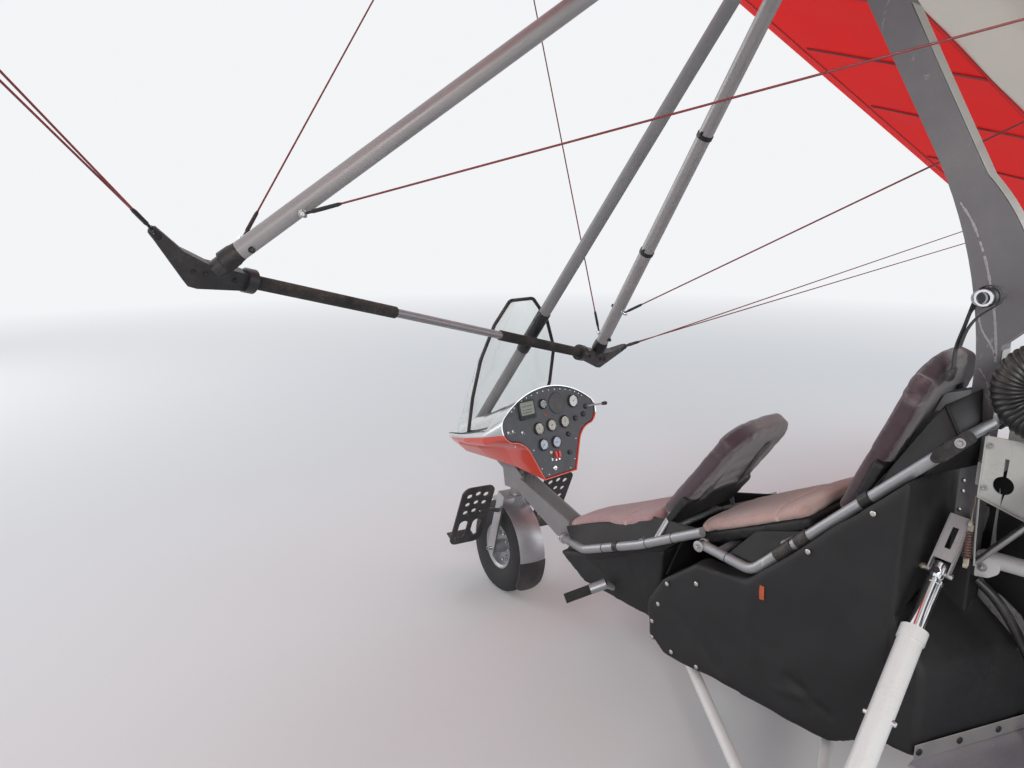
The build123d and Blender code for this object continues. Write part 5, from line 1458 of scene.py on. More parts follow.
# %% Corrugated hose
bm = bmesh.new()
route = smooth_run(
    [
        (110, 262, 1342), (110, 190, 1344), (110, 120, 1334), (110, 66, 1296), (110, 50, 1252), (110, 66, 1206),
        (110, 110, 1176), (110, 150, 1168)
    ],
    4
)
length = sum((b - a).length for a, b in zip(route, route[1:]))
total = int(length / 2.3)
points, reach, index = [], 0.0, 0
lengths = [0.0]
for a, b in zip(route, route[1:]):
    lengths.append(lengths[-1] + (b - a).length)
for k in range(total + 1):
    want = length * k / total
    while index < len(lengths) - 2 and lengths[index + 1] < want:
        index += 1
    share = (want - lengths[index]) / (lengths[index + 1] - lengths[index])
    points.append(route[index].lerp(route[index + 1], share))
RIB_PITCH = 11.5
turns = [2 * math.pi * length * k / total / RIB_PITCH for k in range(total + 1)]
radii = [38.5 + 3.8 * (0.5 + 0.5 * math.cos(turn)) ** 0.7 for turn in turns]
pipe(bm, points, radii, 40)
hose = piece("cooling_hose", bm, HOSE_BLACK, crease=60)
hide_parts("intake_duct")
bm = bmesh.new()
for start, along in (((110, 250, 1342), (0, 1, 0)), ((110, 136, 1167), (0, 1, -0.05))):
    turned(bm, start, along, [(0, 43), (1, 44.5), (12, 44.5), (13, 43)], 40)
for screw in ((124, 256, 1388), (124, 142, 1212)):
    hex_head(bm, screw, (1, 0, 0), 8, 14)
piece("hose_clamps", bm, STEEL)
print("hose", len(hose.data.polygons))

# %% [markdown]
# The instrument panel is what the pilot looks at, so each instrument is built as it is made:
# a turned bezel, a sunk face, printed ticks, a needle on a boss and a thin glass. They are
# drawn flat, in the panel's own frame, and `piece` then leans them back with the panel.

# %% Instrument finishes
FACE_DARK = finish("dial_face_dark", (0.018, 0.020, 0.020), 0.5, dust=0.1, grain=(500, 0.05))
FACE_BEIGE = finish("dial_face_beige", (0.42, 0.37, 0.27), 0.55, dust=0.2, grain=(500, 0.05))
FACE_BLUE = finish("dial_face_blue_white", (0.42, 0.56, 0.78), 0.5, dust=0.15, grain=(500, 0.05))
FACE_SILVER = finish("dial_face_silver", (0.55, 0.56, 0.54), 0.4, metal=0.3, dust=0.15, grain=(500, 0.05))
BEZEL = finish("bezel_black", (0.012, 0.012, 0.013), 0.35, coat=0.3, dust=0.3, patch=30, grain=(600, 0.08))
TICK_WHITE = finish("tick_white", (0.75, 0.75, 0.72), 0.6, dust=0.1, grain=(500, 0.05))
TICK_BLACK = finish("tick_black", (0.02, 0.02, 0.02), 0.6, dust=0.1, grain=(500, 0.05))
NEEDLE_RED = finish("red_enamel", (0.60, 0.03, 0.02), 0.35, coat=0.4, dust=0.15, grain=(500, 0.05))
BRIGHT_METAL = finish("bright_metal", (0.70, 0.70, 0.70), 0.22, metal=1.0, dust=0.2, grain=(500, 0.05))
GREY_COVER = finish("grey_blank_cover", (0.075, 0.085, 0.092), 0.5, dust=0.3, patch=24, grain=(600, 0.14))
DISPLAY_GREEN = finish("display_face", (0.27, 0.33, 0.29), 0.4, dust=0.1, grain=(500, 0.05))
DIAL_GLASS = clear_sheet("dial_glass", 1.46, {"Scale": 26.0, "Detail": 5.0},
                         (0.3, 0.8, 0.01, 0.10), [(0.94, 0.96, 0.95), (1, 1, 1)])
PARTS = [BEZEL, FACE_DARK, FACE_BEIGE, FACE_BLUE, FACE_SILVER, TICK_WHITE, TICK_BLACK, NEEDLE_RED,
         BRIGHT_METAL, GREY_COVER, DISPLAY_GREEN, BLACK_PLASTIC]
UP = (0, 0, 1)
print("instrument finishes", len(PARTS))


# %% Instrument parts
def tick(bm, x, y, angle, near, far, width, level, paint):
    way = Vector((math.sin(angle), math.cos(angle), 0))
    ribbon(
        bm, [Vector((x, y, level)) + way * near, Vector((x, y, level)) + way * far], way.cross(Vector(UP)),
        width, 0.5, paint
    )


def gauge(bm, x, y, radius, face, ink, ticks, needle, needle_paint, sweep=(-135, 135)):
    rows = [
        (-0.5, radius), (7, radius), (9.2, radius - 1.2), (9.6, radius - 2.6), (9.2, radius - 4),
        (5.5, radius - 5), (5.4, 0.3)
    ]
    turned(bm, (x, y, 0), UP, rows, 48, 0)
    turned(bm, (x, y, 5.2), UP, [(0, radius - 4.6), (0.5, radius - 4.6)], 48, face)
    low, high = (math.radians(v) for v in sweep)
    for k in range(ticks):
        angle = low + (high - low) * k / (ticks - 1)
        long = k % 5 == 0
        tick(bm, x, y, angle, radius * (0.60 if long else 0.68), radius * 0.76, 1.3 if long else 0.7, 6.0, ink)
    tick(bm, x, y, math.radians(needle), -radius * 0.18, radius * 0.62, 1.6, 6.8, needle_paint)
    turned(bm, (x, y, 5.7), UP, [(0, radius * 0.12), (1.8, radius * 0.12), (2.2, radius * 0.08)], 20, 6)


def panel_screw(bm, x, y, radius=2.6, paint=8):
    turned(
        bm, (x, y, -0.4), UP,
        [(0, radius), (1.0, radius), (1.5, radius * 0.7), (1.5, radius * 0.3), (0.9, radius * 0.2)], 14, paint
    )


def toggle(bm, x, y, lean, paint=8):
    hex_head(bm, (x, y, -0.3), UP, 10, 2.6, 8)
    turned(bm, (x, y, 2), (0, lean, 1), [(0, 2.6), (3, 2.2), (12, 2.8), (14, 2.0)], 14, paint)


def knob(bm, x, y, radius, paint=11):
    turned(bm, (x, y, -0.4), UP, [(0, radius), (7.5, radius), (9.4, radius * 0.84), (9.8, radius * 0.5)], 24, paint)
    turned(bm, (x, y, -0.4), UP, [(0, radius + 2.2), (1.4, radius + 2.2), (1.8, radius)], 24, 0)


# %% Instruments
bm = bmesh.new()
gauge(bm, -31, 285, 20, 1, 5, 9, 8, 7, (-60, 60))
turned(bm, (45, 276, 0), UP, [(-0.5, 42), (4, 42), (5.4, 40.6), (6, 38), (6.2, 0.4)], 56, 9)
for k in range(4):
    angle = math.radians(45 + 90 * k)
    panel_screw(bm, 45 + 36 * math.cos(angle), 276 + 36 * math.sin(angle))
gauge(bm, 135, 270, 27, 4, 6, 25, 60, 6, (-150, 150))
for x, y, needle in ((-73, 195, -70), (-4, 196, -40), (69, 197, 20)):
    gauge(bm, x, y, 25, 2, 6, 21, needle, 6)
for x, y, needle in ((-64, 130, -110), (6, 126, -95)):
    gauge(bm, x, y, 24, 3, 6, 16, needle, 6, (-120, 120))
for x, y, radius in ((134, 199, 10), (183, 207, 10), (79, 144, 9), (69, 72, 9)):
    knob(bm, x, y, radius)
for x, y in ((-160, 195), (-205, 208), (-228, 208)):
    toggle(bm, x, y, -0.35)
turned(bm, (-24, 28, 0), UP, [(-0.4, 9), (3, 9), (4, 8), (4.2, 4), (9, 4), (9.4, 2)], 24, 8)
turned(bm, (-26, 240, 0), UP, [(-0.4, 5), (2, 5), (3.6, 3.6), (4.2, 1)], 20, 7)
for x in (-10, 8):
    guard = soften([(x - 6, 62), (x + 6, 62), (x + 6, 92), (x - 6, 92)], 2, 3)
    slab(bm, guard, -0.4, 9, 1.2, 7)
    hex_head(bm, (x, 58, -0.3), UP, 8, 2.2, 8)
toggle(bm, -30, 64, 0.3)
turned(bm, (-30, 92, 0), UP, [(-0.4, 6), (2.4, 6), (4.4, 4), (4.8, 1)], 20, 5)
body = soften([(-160, 241), (-78, 241), (-78, 313), (-160, 313)], 6, 4)
slab(bm, body, -0.4, 9, 1.4, 11)
glass = soften([(-153, 258), (-85, 258), (-85, 307), (-153, 307)], 3, 3)
slab(bm, glass, 8.6, 9.8, 0.4, 10)
for k in range(5):
    turned(bm, (-146 + 13.5 * k, 249, 8.6), UP, [(0, 3.4), (1.6, 3.2), (2.0, 2.2)], 14, 0)
segments = [(-144, 290, 18), (-122, 290, 26), (-144, 276, 10), (-130, 276, 34), (-144, 266, 44)]
for x, y, width in segments:
    slab(bm, [(x, y), (x + width, y), (x + width, y + 2.2), (x, y + 2.2)], 9.7, 9.95, 0, 1)
lever_start, lever_end = Vector((205, 236, 0)), Vector((292, 232, 40))
run = (lever_end - lever_start).normalized()
turned(bm, (203, 236, -0.4), UP, [(0, 12), (2, 12), (3, 9), (9, 7), (10, 4)], 24, 0)
turned(bm, lever_start + run * 4, run, [(0, 4), (78, 3.4)], 16, 8)
turned(bm, lever_start + run * 72, run, [(0, 4.5), (4, 6.6), (14, 8), (22, 7.6), (25, 4)], 24, 11)
label = soften([(-226, 262), (-180, 266), (-181, 280), (-227, 276)], 1, 2)
slab(bm, label, -0.3, 0.7, 0, 9)
for k in range(18):
    angle = math.radians(-72 + 144 * k / 17 + 90)
    panel_screw(bm, 216 * math.cos(angle), 242 + 92 * math.sin(angle) if k % 17 else 150, 2.4)
for x, y in ((-118, 118), (118, 118), (-92, 40), (92, 40), (-60, 10), (60, 10)):
    panel_screw(bm, x, y, 2.4)
gauges = piece("panel_instruments", bm, PARTS, frame_at=PANEL, crease=28)
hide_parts("instruments")
bm = bmesh.new()
for x, y, radius in (
    (-31, 285, 20), (135, 270, 27), (-73, 195, 25), (-4, 196, 25), (69, 197, 25), (-64, 130, 24), (6, 126, 24)
):
    turned(bm, (x, y, 8.4), UP, [(0, radius - 4.1), (0.5, radius - 4.2), (0.9, radius * 0.5), (1.0, 0.4)], 40)
piece("dial_glasses", bm, DIAL_GLASS, frame_at=PANEL)
print("instruments", len(gauges.data.polygons))

# %% [markdown]
# The wires end in crimped loops under black heat-shrink, on a bolt with its nut. The same
# short run makes each end, from the bolt up along the wire.

# %% Wire ends
SWEEP = math.tan(math.radians(24.3))
DROOP = math.tan(math.radians(3.85))
NOSE_Y = -1471
APEX_Y, APEX_Z = 42, 76
BAR_HALF, BAR_Y, BAR_Z = 875, -437, -1703


def upright_point(side, z):
    share = (APEX_Z - z) / (APEX_Z - BAR_Z)
    return Vector((side * BAR_HALF * share, APEX_Y + (BAR_Y - APEX_Y) * share, z))


def wire_end(bm, bolt_at, toward, shrink, radius=5.4):
    start = Vector(bolt_at)
    run = (Vector(toward) - start).normalized()
    turned(
        bm, start + run * 7, run,
        [
            (0, 2.6), (2, 3.6), (20, 3.8), (22, 5.2), (shrink * 0.5, radius), (shrink, radius * 0.92),
            (shrink + 9, 3.0)
        ],
        18, 0
    )
    side = run.orthogonal().normalized()
    up = run.cross(side)
    loop = [start + (run * math.cos(a) + up * math.sin(a)) * 7 for a in [2 * math.pi * k / 16 for k in range(16)]]
    pipe(bm, loop, 2.4, 10, paint=1, loop=True)


# %% Wire fittings
bm = bmesh.new()
for side in (1, -1):
    for z, way, far in ((-1600, -1, (side * 8, -1431, -48)), (-1463, 1, (side * 8, 1180, -33))):
        base = upright_point(side, z)
        eye = base + Vector((0, way * 33, 0))
        wire_end(bm, eye, far, 78 if way < 0 else 96)
        hex_head(bm, base + Vector((0, way * 40, 0)), (0, way, 0), 11, 7, 1)
        turned(bm, base + Vector((0, way * 25.5, 0)), (0, way, 0), [(0, 11), (3, 11), (4, 8), (15, 6.6)], 20, 1)
        nut = base - Vector((0, way * 25, 0))
        turned(bm, nut, (0, -way, 0), [(0, 9), (2, 9), (2, 7), (9, 7), (12, 3)], 16, 2)
    for k, s in enumerate((3300, 3180)):
        start = Vector((side * 1043, BAR_Y + 8 * k - 4, -1631))
        far = Vector((side * s, NOSE_Y + s * SWEEP, -s * DROOP - 38))
        wire_end(bm, start, far, 66, 5.0)
        run = (far - start).normalized()
        end = far - run * 4
        turned(bm, end - run * 78, run, [(0, 3), (8, 5), (60, 5.2), (76, 3.6)], 16, 0)
piece("wire_fittings", bm, [SLEEVE_BLACK, BRIGHT_METAL, BLACK_PLASTIC], "wing", WING)

# %% Frame clamps
bm = bmesh.new()
for side in (1, -1):
    if side < 0:
        for z in (-1212, -782):
            low = upright_point(side, z)
            run = (upright_point(side, z + 10) - low).normalized()
            turned(bm, low, run, [(0, 25.2), (0.6, 27.6), (15, 27.6), (15.6, 25.2)], 36)
            hex_head(bm, low + run * 8 + Vector((side * -27, 4, 0)), (-side, 0, 0), 9, 6)
        low = upright_point(side, -352)
        run = (upright_point(side, -300) - low).normalized()
        turned(bm, low, run, [(0, 25.3), (2, 33), (10, 36), (52, 36), (60, 31), (62, 25.3)], 36)
        hex_head(bm, low + run * 30 + Vector((0, 35, 0)), (0, 1, 0), 12, 8)
    foot = upright_point(side, -1661)
    run = (upright_point(side, -1600) - foot).normalized()
    turned(bm, foot + run * -6, run, [(0, 27), (2, 29.5), (34, 28.5), (40, 26.6), (52, 25.3)], 36)
    for x in (-60, 20, 52):
        for way in (1, -1):
            hex_head(bm, (side * (BAR_HALF + x), BAR_Y + way * 17.5, BAR_Z), (0, way, 0), 11, 6)
            hex_head(bm, (side * (BAR_HALF + x), BAR_Y + way * 17, -1715 + abs(x) * 0.3), (0, way, 0), 4, 2)
    tip = Vector((side * 1041, BAR_Y, -1634))
    turned(bm, tip - Vector((side * 14, 0, 10)), (side * 0.8, 0, 0.58), [(0, 11), (3, 13), (26, 12), (30, 8)], 20)
piece("frame_clamps", bm, SLEEVE_BLACK, "wing", WING)
print("wire ends", 8)

# %% [markdown]
# The sail is red along its leading edge and off-white behind. The colours follow the wing
# itself, so the material first turns each point into the wing's own measure: how far out
# along the span it lies and how far behind the leading edge.

# %% Sailcloth
RED_BAND = 0.885


# Besides its colours the sail glows faintly in them: painted light.
def sail_cloth():
    def shade(tree):
        point = object_point(tree)
        local = add(tree, "VectorMath", {"operation": "SUBTRACT"}, {0: point, 1: tuple(DATUM)}).outputs[0]
        span = add(tree, "VectorMath", {"operation": "DOT_PRODUCT"}, {0: local, 1: tuple(PORT)}).outputs["Value"]
        aft = add(tree, "VectorMath", {"operation": "DOT_PRODUCT"}, {0: local, 1: tuple(AFT)}).outputs["Value"]
        out = math_node(tree, "ABSOLUTE", span)
        edge = math_node(tree, "ADD", math_node(tree, "MULTIPLY", out, SWEEP), NOSE_Y / 1000)
        behind = math_node(tree, "SUBTRACT", aft, edge)
        band = ramp(tree, behind, RED_BAND, RED_BAND + 0.004)
        return mix_color(tree, band, (0.84, 0.008, 0.006, 1), (0.66, 0.62, 0.55, 1))
    material = finish(
        "sailcloth", (1, 1, 1), 0.62, shade=shade, dust=0.05, patch=2.5, variation=0.05, weave=(700, 0.3, 0.06)
    )
    shader = material.node_tree.nodes["Principled BSDF"]
    shader.inputs["Specular IOR Level"].default_value = 0.25
    # The cloth glows faintly in its own colours: painted light standing in for daylight through the sail.
    material.node_tree.links.new(shader.inputs["Base Color"].links[0].from_socket, shader.inputs["Emission Color"])
    shader.inputs["Emission Strength"].default_value = 0.18
    return material


SAILCLOTH = sail_cloth()
print("sailcloth", SAILCLOTH.name)

# %% [markdown]
# Sailcloth is cut in panels. Seams run along the span, battens lie in pockets sewn on the
# underside, and a dark edge binds the red band. The cloth between two battens is drawn a
# little tight. The strips are laid on the lower skin with a small clearance.

# %% Sail sections
SEAM_RED = finish("maroon_seam", (0.26, 0.008, 0.012), 0.6, dust=0.2, weave=(700, 0.3, 0.1))
SEAM_GREY = finish("grey_seam", (0.13, 0.13, 0.135), 0.6, dust=0.2, weave=(700, 0.3, 0.1))


HALF_SPAN, ROOT_CHORD, TIP_CHORD = 4900, 2400, 760
ROOT_NOSE, TIP_NOSE = 34, 24
CREST_AT, CREST_RISE = 0.28, 0.085
JOIN_AT, TAIL_RISE = 0.62, 0.012
JOIN_SHARE = (JOIN_AT - CREST_AT) / 0.72


def chord_at(out):
    return ROOT_CHORD + (TIP_CHORD - ROOT_CHORD) * out / HALF_SPAN


def nose_at(out):
    """Place and radius of the leading edge's tube at a span station."""
    return NOSE_Y + out * SWEEP, -out * DROOP, ROOT_NOSE + (TIP_NOSE - ROOT_NOSE) * out / HALF_SPAN


def lower_skin(s, share, drop):
    """Point on the sail's underside at a span station and a share of the chord."""
    nose_y, nose_z, radius = nose_at(abs(s))
    chord = chord_at(abs(s))
    crest_z = nose_z + CREST_RISE * chord + radius
    tail_z = nose_z + TAIL_RISE * chord
    join_z = crest_z + (tail_z - crest_z) * JOIN_SHARE - 4
    if share < JOIN_AT:
        z = (nose_z - radius) + (join_z - nose_z + radius) * share / JOIN_AT
    else:
        z = join_z + (tail_z - 4 - join_z) * (share - JOIN_AT) / 0.38
    return Vector((s, nose_y + share * chord, z - drop))


def sail_curve(s):
    """The sail's section: lower skin, round the nose, over the crest, to the trailing edge."""
    nose_y, nose_z, radius = nose_at(s)
    chord = chord_at(s)
    crest = Vector((nose_y + CREST_AT * chord, nose_z + CREST_RISE * chord + radius))
    rise = Vector((nose_y + 0.10 * chord, nose_z + 0.80 * CREST_RISE * chord + radius * 0.9))
    tail = Vector((nose_y + chord, nose_z + TAIL_RISE * chord))
    join = Vector((nose_y + JOIN_AT * chord, crest.y + (tail.y - crest.y) * JOIN_SHARE - 3.5))
    front = Vector((nose_y, nose_z + radius))
    points = [join.lerp(Vector((nose_y, nose_z - radius)), k / 14) for k in range(14)]
    turns = [math.pi * k / 8 for k in range(9)]
    points += [Vector((nose_y - radius * math.sin(a), nose_z - radius * math.cos(a))) for a in turns]
    for k in range(1, 13):
        y = front.x + (crest.x - front.x) * (k / 12) ** 1.35
        points.append(Vector((y, three_point_height(front, rise, crest, y))))
    points += [crest.lerp(tail, k / 18) for k in range(1, 19)]
    return points


def circle_through(a, b, c):
    """Middle and radius of the circle through three flat points."""
    turn = 2 * (a.x * (b.y - c.y) + b.x * (c.y - a.y) + c.x * (a.y - b.y))
    sa, sb, sc = a.length_squared, b.length_squared, c.length_squared
    mid_y = (sa * (b.y - c.y) + sb * (c.y - a.y) + sc * (a.y - b.y)) / turn
    mid_z = (sa * (c.x - b.x) + sb * (a.x - c.x) + sc * (b.x - a.x)) / turn
    return mid_y, mid_z, math.hypot(a.x - mid_y, a.y - mid_z)


def three_point_height(a, b, c, y):
    """Height at y of the arc through three points, on its upper side."""
    mid_y, mid_z, reach = circle_through(a, b, c)
    return mid_z + math.sqrt(max(reach ** 2 - (y - mid_y) ** 2, 0))


# %% Sail halves
def sail_half(side, word):
    bm = bmesh.new()
    rows = []
    for k in range(133):
        s = 36 + (4898 - 36) * k / 132
        dip = 4 * math.sin(math.pi * (s - 160) / 460) ** 2
        curve = sail_curve(s)
        row = []
        for j, point in enumerate(curve):
            inward = dip if 0 < j < 12 else 0
            if j > 24:
                inward -= dip * min(1, (j - 24) / 6) * min(1, (len(curve) - 1 - j) / 5)
            row.append(bm.verts.new((side * s, point.x, point.y + inward)))
        rows.append(row)
    join_rows(bm, rows, side > 0)
    joint = next(j for j in range(34, len(rows[-1])) if rows[-1][j].co.y > rows[-1][0].co.y)
    ring = rows[-1][:joint]
    bm.faces.new(ring if side > 0 else ring[::-1])
    cloth = piece(f"{word}_sail_cloth", bm, [SAILCLOTH], "wing", WING, crease=50)
    area = area_of(cloth)
    thicken(cloth, 1.0)
    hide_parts(f"{word}_sail")
    return cloth, area


def pocket_height(y, curve):
    for a, b in zip(curve[22:], curve[23:]):
        if a.x <= y <= b.x:
            return a.y + (b.y - a.y) * (y - a.x) / (b.x - a.x)
    return curve[22].y


for side, word in SIDES:
    cloth, area = sail_half(side, word)
    print(cloth.name, len(cloth.data.polygons), round(area, 2))

# %% Keel pocket
middle = sail_curve(0)
bm = bmesh.new()
rows = []
for k in range(60):
    y = -1459 + (902 + 1459) * k / 59
    top = pocket_height(y, middle) + 6
    half, round_by = 30, 12
    section = [(-half, 30), (-half, top - round_by)]
    section += [
        (-half + round_by - round_by * math.cos(a), top - round_by + round_by * math.sin(a))
        for a in (0.5, 1.0, 1.57)
    ]
    section += [(-x, z) for x, z in reversed(section)]
    rows.append([bm.verts.new((x, y, z + 1.2 * math.sin(k * 1.3) * (abs(x) < half))) for x, z in section])
for first, second in zip(rows, rows[1:]):
    for j in range(len(first) - 1):
        bm.faces.new((first[j], second[j], second[j + 1], first[j + 1]))
bm.faces.new(rows[0])
bm.faces.new(rows[-1][::-1])
pocket = piece("keel_pocket_cloth", bm, [SAILCLOTH], "wing", WING, crease=60)
thicken(pocket, 1.0)
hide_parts("keel_pocket")

# %% Sail seams and battens
bm = bmesh.new()
for side in (1, -1):
    for s, far in zip(range(620, 4301, 460), (0.36, 0.42, 0.46, 0.50, 0.54, 0.58, 0.60, 0.60, 0.60)):
        run = [
            lower_skin(side * (s + 14 * share), share, 1.3)
            for share in [0.05 + (far - 0.05) * k / 10 for k in range(11)]
        ]
        ribbon(bm, run, (1, 0, 0), 26, 1.4, 0)
        ribbon(bm, [point + Vector((0, 0, -1.2)) for point in run[:8]], (1, 0, 0), 9, 1.4, 0)
    for s in range(500, 4181, 460):
        for gap in (-9, 9):
            run = [lower_skin(side * (s + gap), share, 1.3) for share in [0.64 + 0.34 * k / 8 for k in range(9)]]
            ribbon(bm, run, (1, 0, 0), 6, 1.2, 1)
    for behind, width, ink in ((884, 9, 0), (60, 12, 0), (868, 3, 0)):
        run = []
        for k in range(41):
            s = 50 + 4780 * k / 40
            share = behind / chord_at(s)
            if share < 0.98:
                run.append(lower_skin(side * s, share, 1.3))
        ribbon(bm, run, (0.2 * side, 1, 0), width, 1.2, ink)
seams = piece("sail_seams", bm, [SEAM_RED, SEAM_GREY], "wing", WING)
print("sail seams", len(seams.data.polygons))

# %% [markdown]
# The mast's aft face is bare aluminium, left light by the strip that covers its seam. Cables
# and straps have scratched two pale lines into the coat of the port face. Pop rivets hold
# the foot's joint, where a black seam crosses it.

# %% Mast strip and scratches
rng = random.Random(91)
BARE_STRIP = finish(
    "bare_mast_strip", (0.50, 0.49, 0.47), 0.40, metal=0.45, scuff=0.4, dust=0.3, patch=12, grain=(420, 0.08)
)
SCRATCH = finish("pale_scratch", (0.36, 0.35, 0.365), 0.6, dust=0.3, patch=40, grain=(500, 0.2))
bm = bmesh.new()
# The aft edge is a straight beam and then an arc through three points
bend = Vector((-80, 1720)), Vector((25, 1560)), Vector((70, 1400))
mid_y, mid_z, reach = circle_through(*bend)
reach += 1.4
first, last = (math.atan2(end.y - mid_z, end.x - mid_y) for end in (bend[0], bend[2]))
arc = [first + (last - first) * k / 16 for k in range(17)]
back = [(0, -291, 2120), (0, -220, 1985)]
back += [(0, mid_y + reach * math.cos(v), mid_z + reach * math.sin(v)) for v in arc]
ribbon(bm, back, (1, 0, 0), 60, 2.4)
ribbon(bm, [(0, 1.4, 1318), (0, 1.4, 1120)], (1, 0, 0), 60, 2.4)
mast_strip = piece("mast_strip", bm, BARE_STRIP, crease=20)
bm = bmesh.new()
SCRATCH_RUNS = (
    ([(-128, 1656), (-96, 1610), (-66, 1545), (-44, 1480), (-24, 1400), (-12, 1330), (-8, 1290)], 5),
    ([(-58, 1398), (-46, 1362), (-24, 1330), (-10, 1304)], 4),
    ([(-40, 1270), (-20, 1240), (-8, 1200)], 3),
)
for run, width in SCRATCH_RUNS:
    points = smooth_run([(35.35, y, z) for y, z in run], 6)
    for k, (a, b) in enumerate(zip(points, points[1:])):
        if rng.random() < 0.96:
            wide = width * rng.uniform(0.7, 1.4)
            ribbon(bm, [a, b + (b - a) * 0.1], (0, (b - a).z, -(b - a).y), wide, 0.5)
piece("mast_scratches", bm, SCRATCH, crease=80)
# %% Mast rivets, collars and harness rings
bm = bmesh.new()
for y, z in ((-42, 987), (-41, 960), (-43, 910)):
    rivet(bm, (35, y + 3, z), (1, 0, 0), 5.5)
hex_head(bm, (35, -8, 1003), (1, 0, 0), 10, 5)
piece("mast_rivets", bm, BRIGHT_METAL)
bm = bmesh.new()
ribbon(bm, [(35.4, -50, 893), (35.4, 0, 881)], (0, 0, 1), 5, 0.8)
for side in (1, -1):
    collar = [(-26, 17.2), (-25, 22), (-4, 22), (0, 19), (3, 19.4)]
    turned(bm, (side * 166, -11, 1451), (side, 0, 0), collar, 32)
piece("mast_seam_and_collars", bm, BLACK_PLASTIC)
bm = bmesh.new()
for side in (1, -1):
    turned(
        bm, (side * 169, -11, 1451), (side, 0, 0),
        [(-4, 19.8), (4, 19.8), (5.4, 18.4), (5.4, 14), (1, 12.6), (-3, 12)], 32
    )
piece("harness_rings", bm, CHROME)
print("mast strip", len(mast_strip.data.polygons))

# %% [markdown]
# The shoulder harness hangs from the cross tube: webbing round the bar, a stitched lap, a
# second thin strap and a pressed buckle. Webbing is stiff and flat, so it is modelled
# directly as a ribbon with a thickness.

# %% Harness webbing
LAP = (
    (22, -58, 1275), (20, -60, 1330), (12, -50, 1385), (4, -42, 1430), (0, -34, 1464), (0, -12, 1476),
    (0, 9, 1462), (0, 10, 1440), (2, -6, 1424), (5, -30, 1402), (12, -46, 1370), (18, -54, 1330),
)
THIN_STRAP = ((-26, -30, 1466), (-26, -38, 1440), (-18, -58, 1390), (-4, -68, 1330), (10, -66, 1262))
bm = bmesh.new()
for side in (1, -1):
    x = side * 128
    for strap, width, thick in ((LAP, 26, 2.2), (THIN_STRAP, 12, 2)):
        ribbon(bm, smooth_run([(x + side * out, y, z) for out, y, z in strap], 5), (1, 0, 0), width, thick)
    for k in range(3):
        ribbon(
            bm, [(x + side * 19 - 11, -61.4, 1322 - 9 * k), (x + side * 19 + 11, -61.4, 1322 - 9 * k)],
            (0, 0, 1), 1.6, 1.2
        )
webbing = piece("harness_webbing", bm, BLACK_WEBBING)
bm = bmesh.new()
for side in (1, -1):
    x = side * 150
    slab(bm, soften([(x - 19, -15), (x + 19, -15), (x + 19, 15), (x - 19, 15)], 4, 4), 0, 6, 1.4,
         to=Matrix.Translation((0, -58, 1268)) @ Matrix.Rotation(math.radians(80), 4, "X"))
    ribbon(bm, [(x - 15, -66, 1276), (x + 15, -66, 1276)], (0, 0, 1), 4, 3)
piece("harness_buckles", bm, BLACK_COAT)
print("harness", len(webbing.data.polygons))

# %% [markdown]
# Tyres for rough strips have a few plain ribs round them. The section is drawn once and
# turned about the axle, like clay on a wheel, and sits on the same rim.

# %% Ribbed tyres and rim fittings
WHEEL_RADIUS = 200


def tyre_rows(half):
    outer = [
        (-half * 0.78, 99), (-half * 0.80, 106), (-half * 0.96, 122), (-half, 146), (-half * 0.97, 168),
        (-half * 0.86, 186), (-half * 0.68, 194)
    ]
    tread = []
    for share in (-0.52, -0.20, 0.20, 0.52):
        reach = half * share
        crown = WHEEL_RADIUS - 9 * share * share
        tread += [(reach - 3.4, crown), (reach - 2.6, crown - 6), (reach + 2.6, crown - 6), (reach + 3.4, crown)]
    return outer + tread + [(-reach, radius) for reach, radius in reversed(outer)]


STEER_AXIS = Vector((0, math.sin(math.radians(15)), math.cos(math.radians(15))))
NOSE_HUB = Vector((0, -1795, WHEEL_RADIUS))
PARKED_TURN = Matrix.Rotation(math.radians(-10), 4, STEER_AXIS)
STEERED = TRIKE @ Matrix.Translation(NOSE_HUB) @ PARKED_TURN @ Matrix.Translation(-NOSE_HUB)


def wheel(name, body, x, y, half, frame_at=TRIKE):
    bm = bmesh.new()
    rows = tyre_rows(half)
    hub = [(x + reach, y, WHEEL_RADIUS) for reach, radius in rows]
    pipe(bm, hub, [radius for reach, radius in rows], 96, (1, 0, 0), loop=True)
    tyre = piece(f"{name}_ribbed_tyre", bm, TYRE_RUBBER, body, frame_at, crease=32)
    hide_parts(f"{name}_tyre")
    bm = bmesh.new()
    out = -1 if x < 0 else 1
    for way in (1, -1):
        for k in range(5):
            angle = 2 * math.pi * k / 5 + 0.3
            place_at = (x + way * half * 0.36, y + 60 * math.sin(angle), WHEEL_RADIUS + 60 * math.cos(angle))
            hex_head(bm, place_at, (way, 0, 0), 12, 7)
    valve = Vector((x + out * half * 0.42, y + 86 * math.sin(1.0), WHEEL_RADIUS + 86 * math.cos(1.0)))
    turned(bm, valve, (out, 0, 0), [(0, 4), (14, 3.6), (15, 4.4), (24, 4.4), (25, 3)], 14)
    piece(f"{name}_rim_bolts", bm, BRIGHT_METAL, body, frame_at)
    return len(tyre.data.polygons)


tyre_faces = [wheel("nose", "nosewheel", 0, NOSE_HUB.y, 48, STEERED)]
tyre_faces += [wheel(word, f"{word}_wheel", side * 862, 0, 56) for side, word in SIDES]
print("tyres", *tyre_faces)

# %% [markdown]
# Small fittings that catch the eye: cross bolts through each white leg, bare tubes of the
# foot rests under their rubber, a bolt at the seat tube's front joint and the pod's seam.

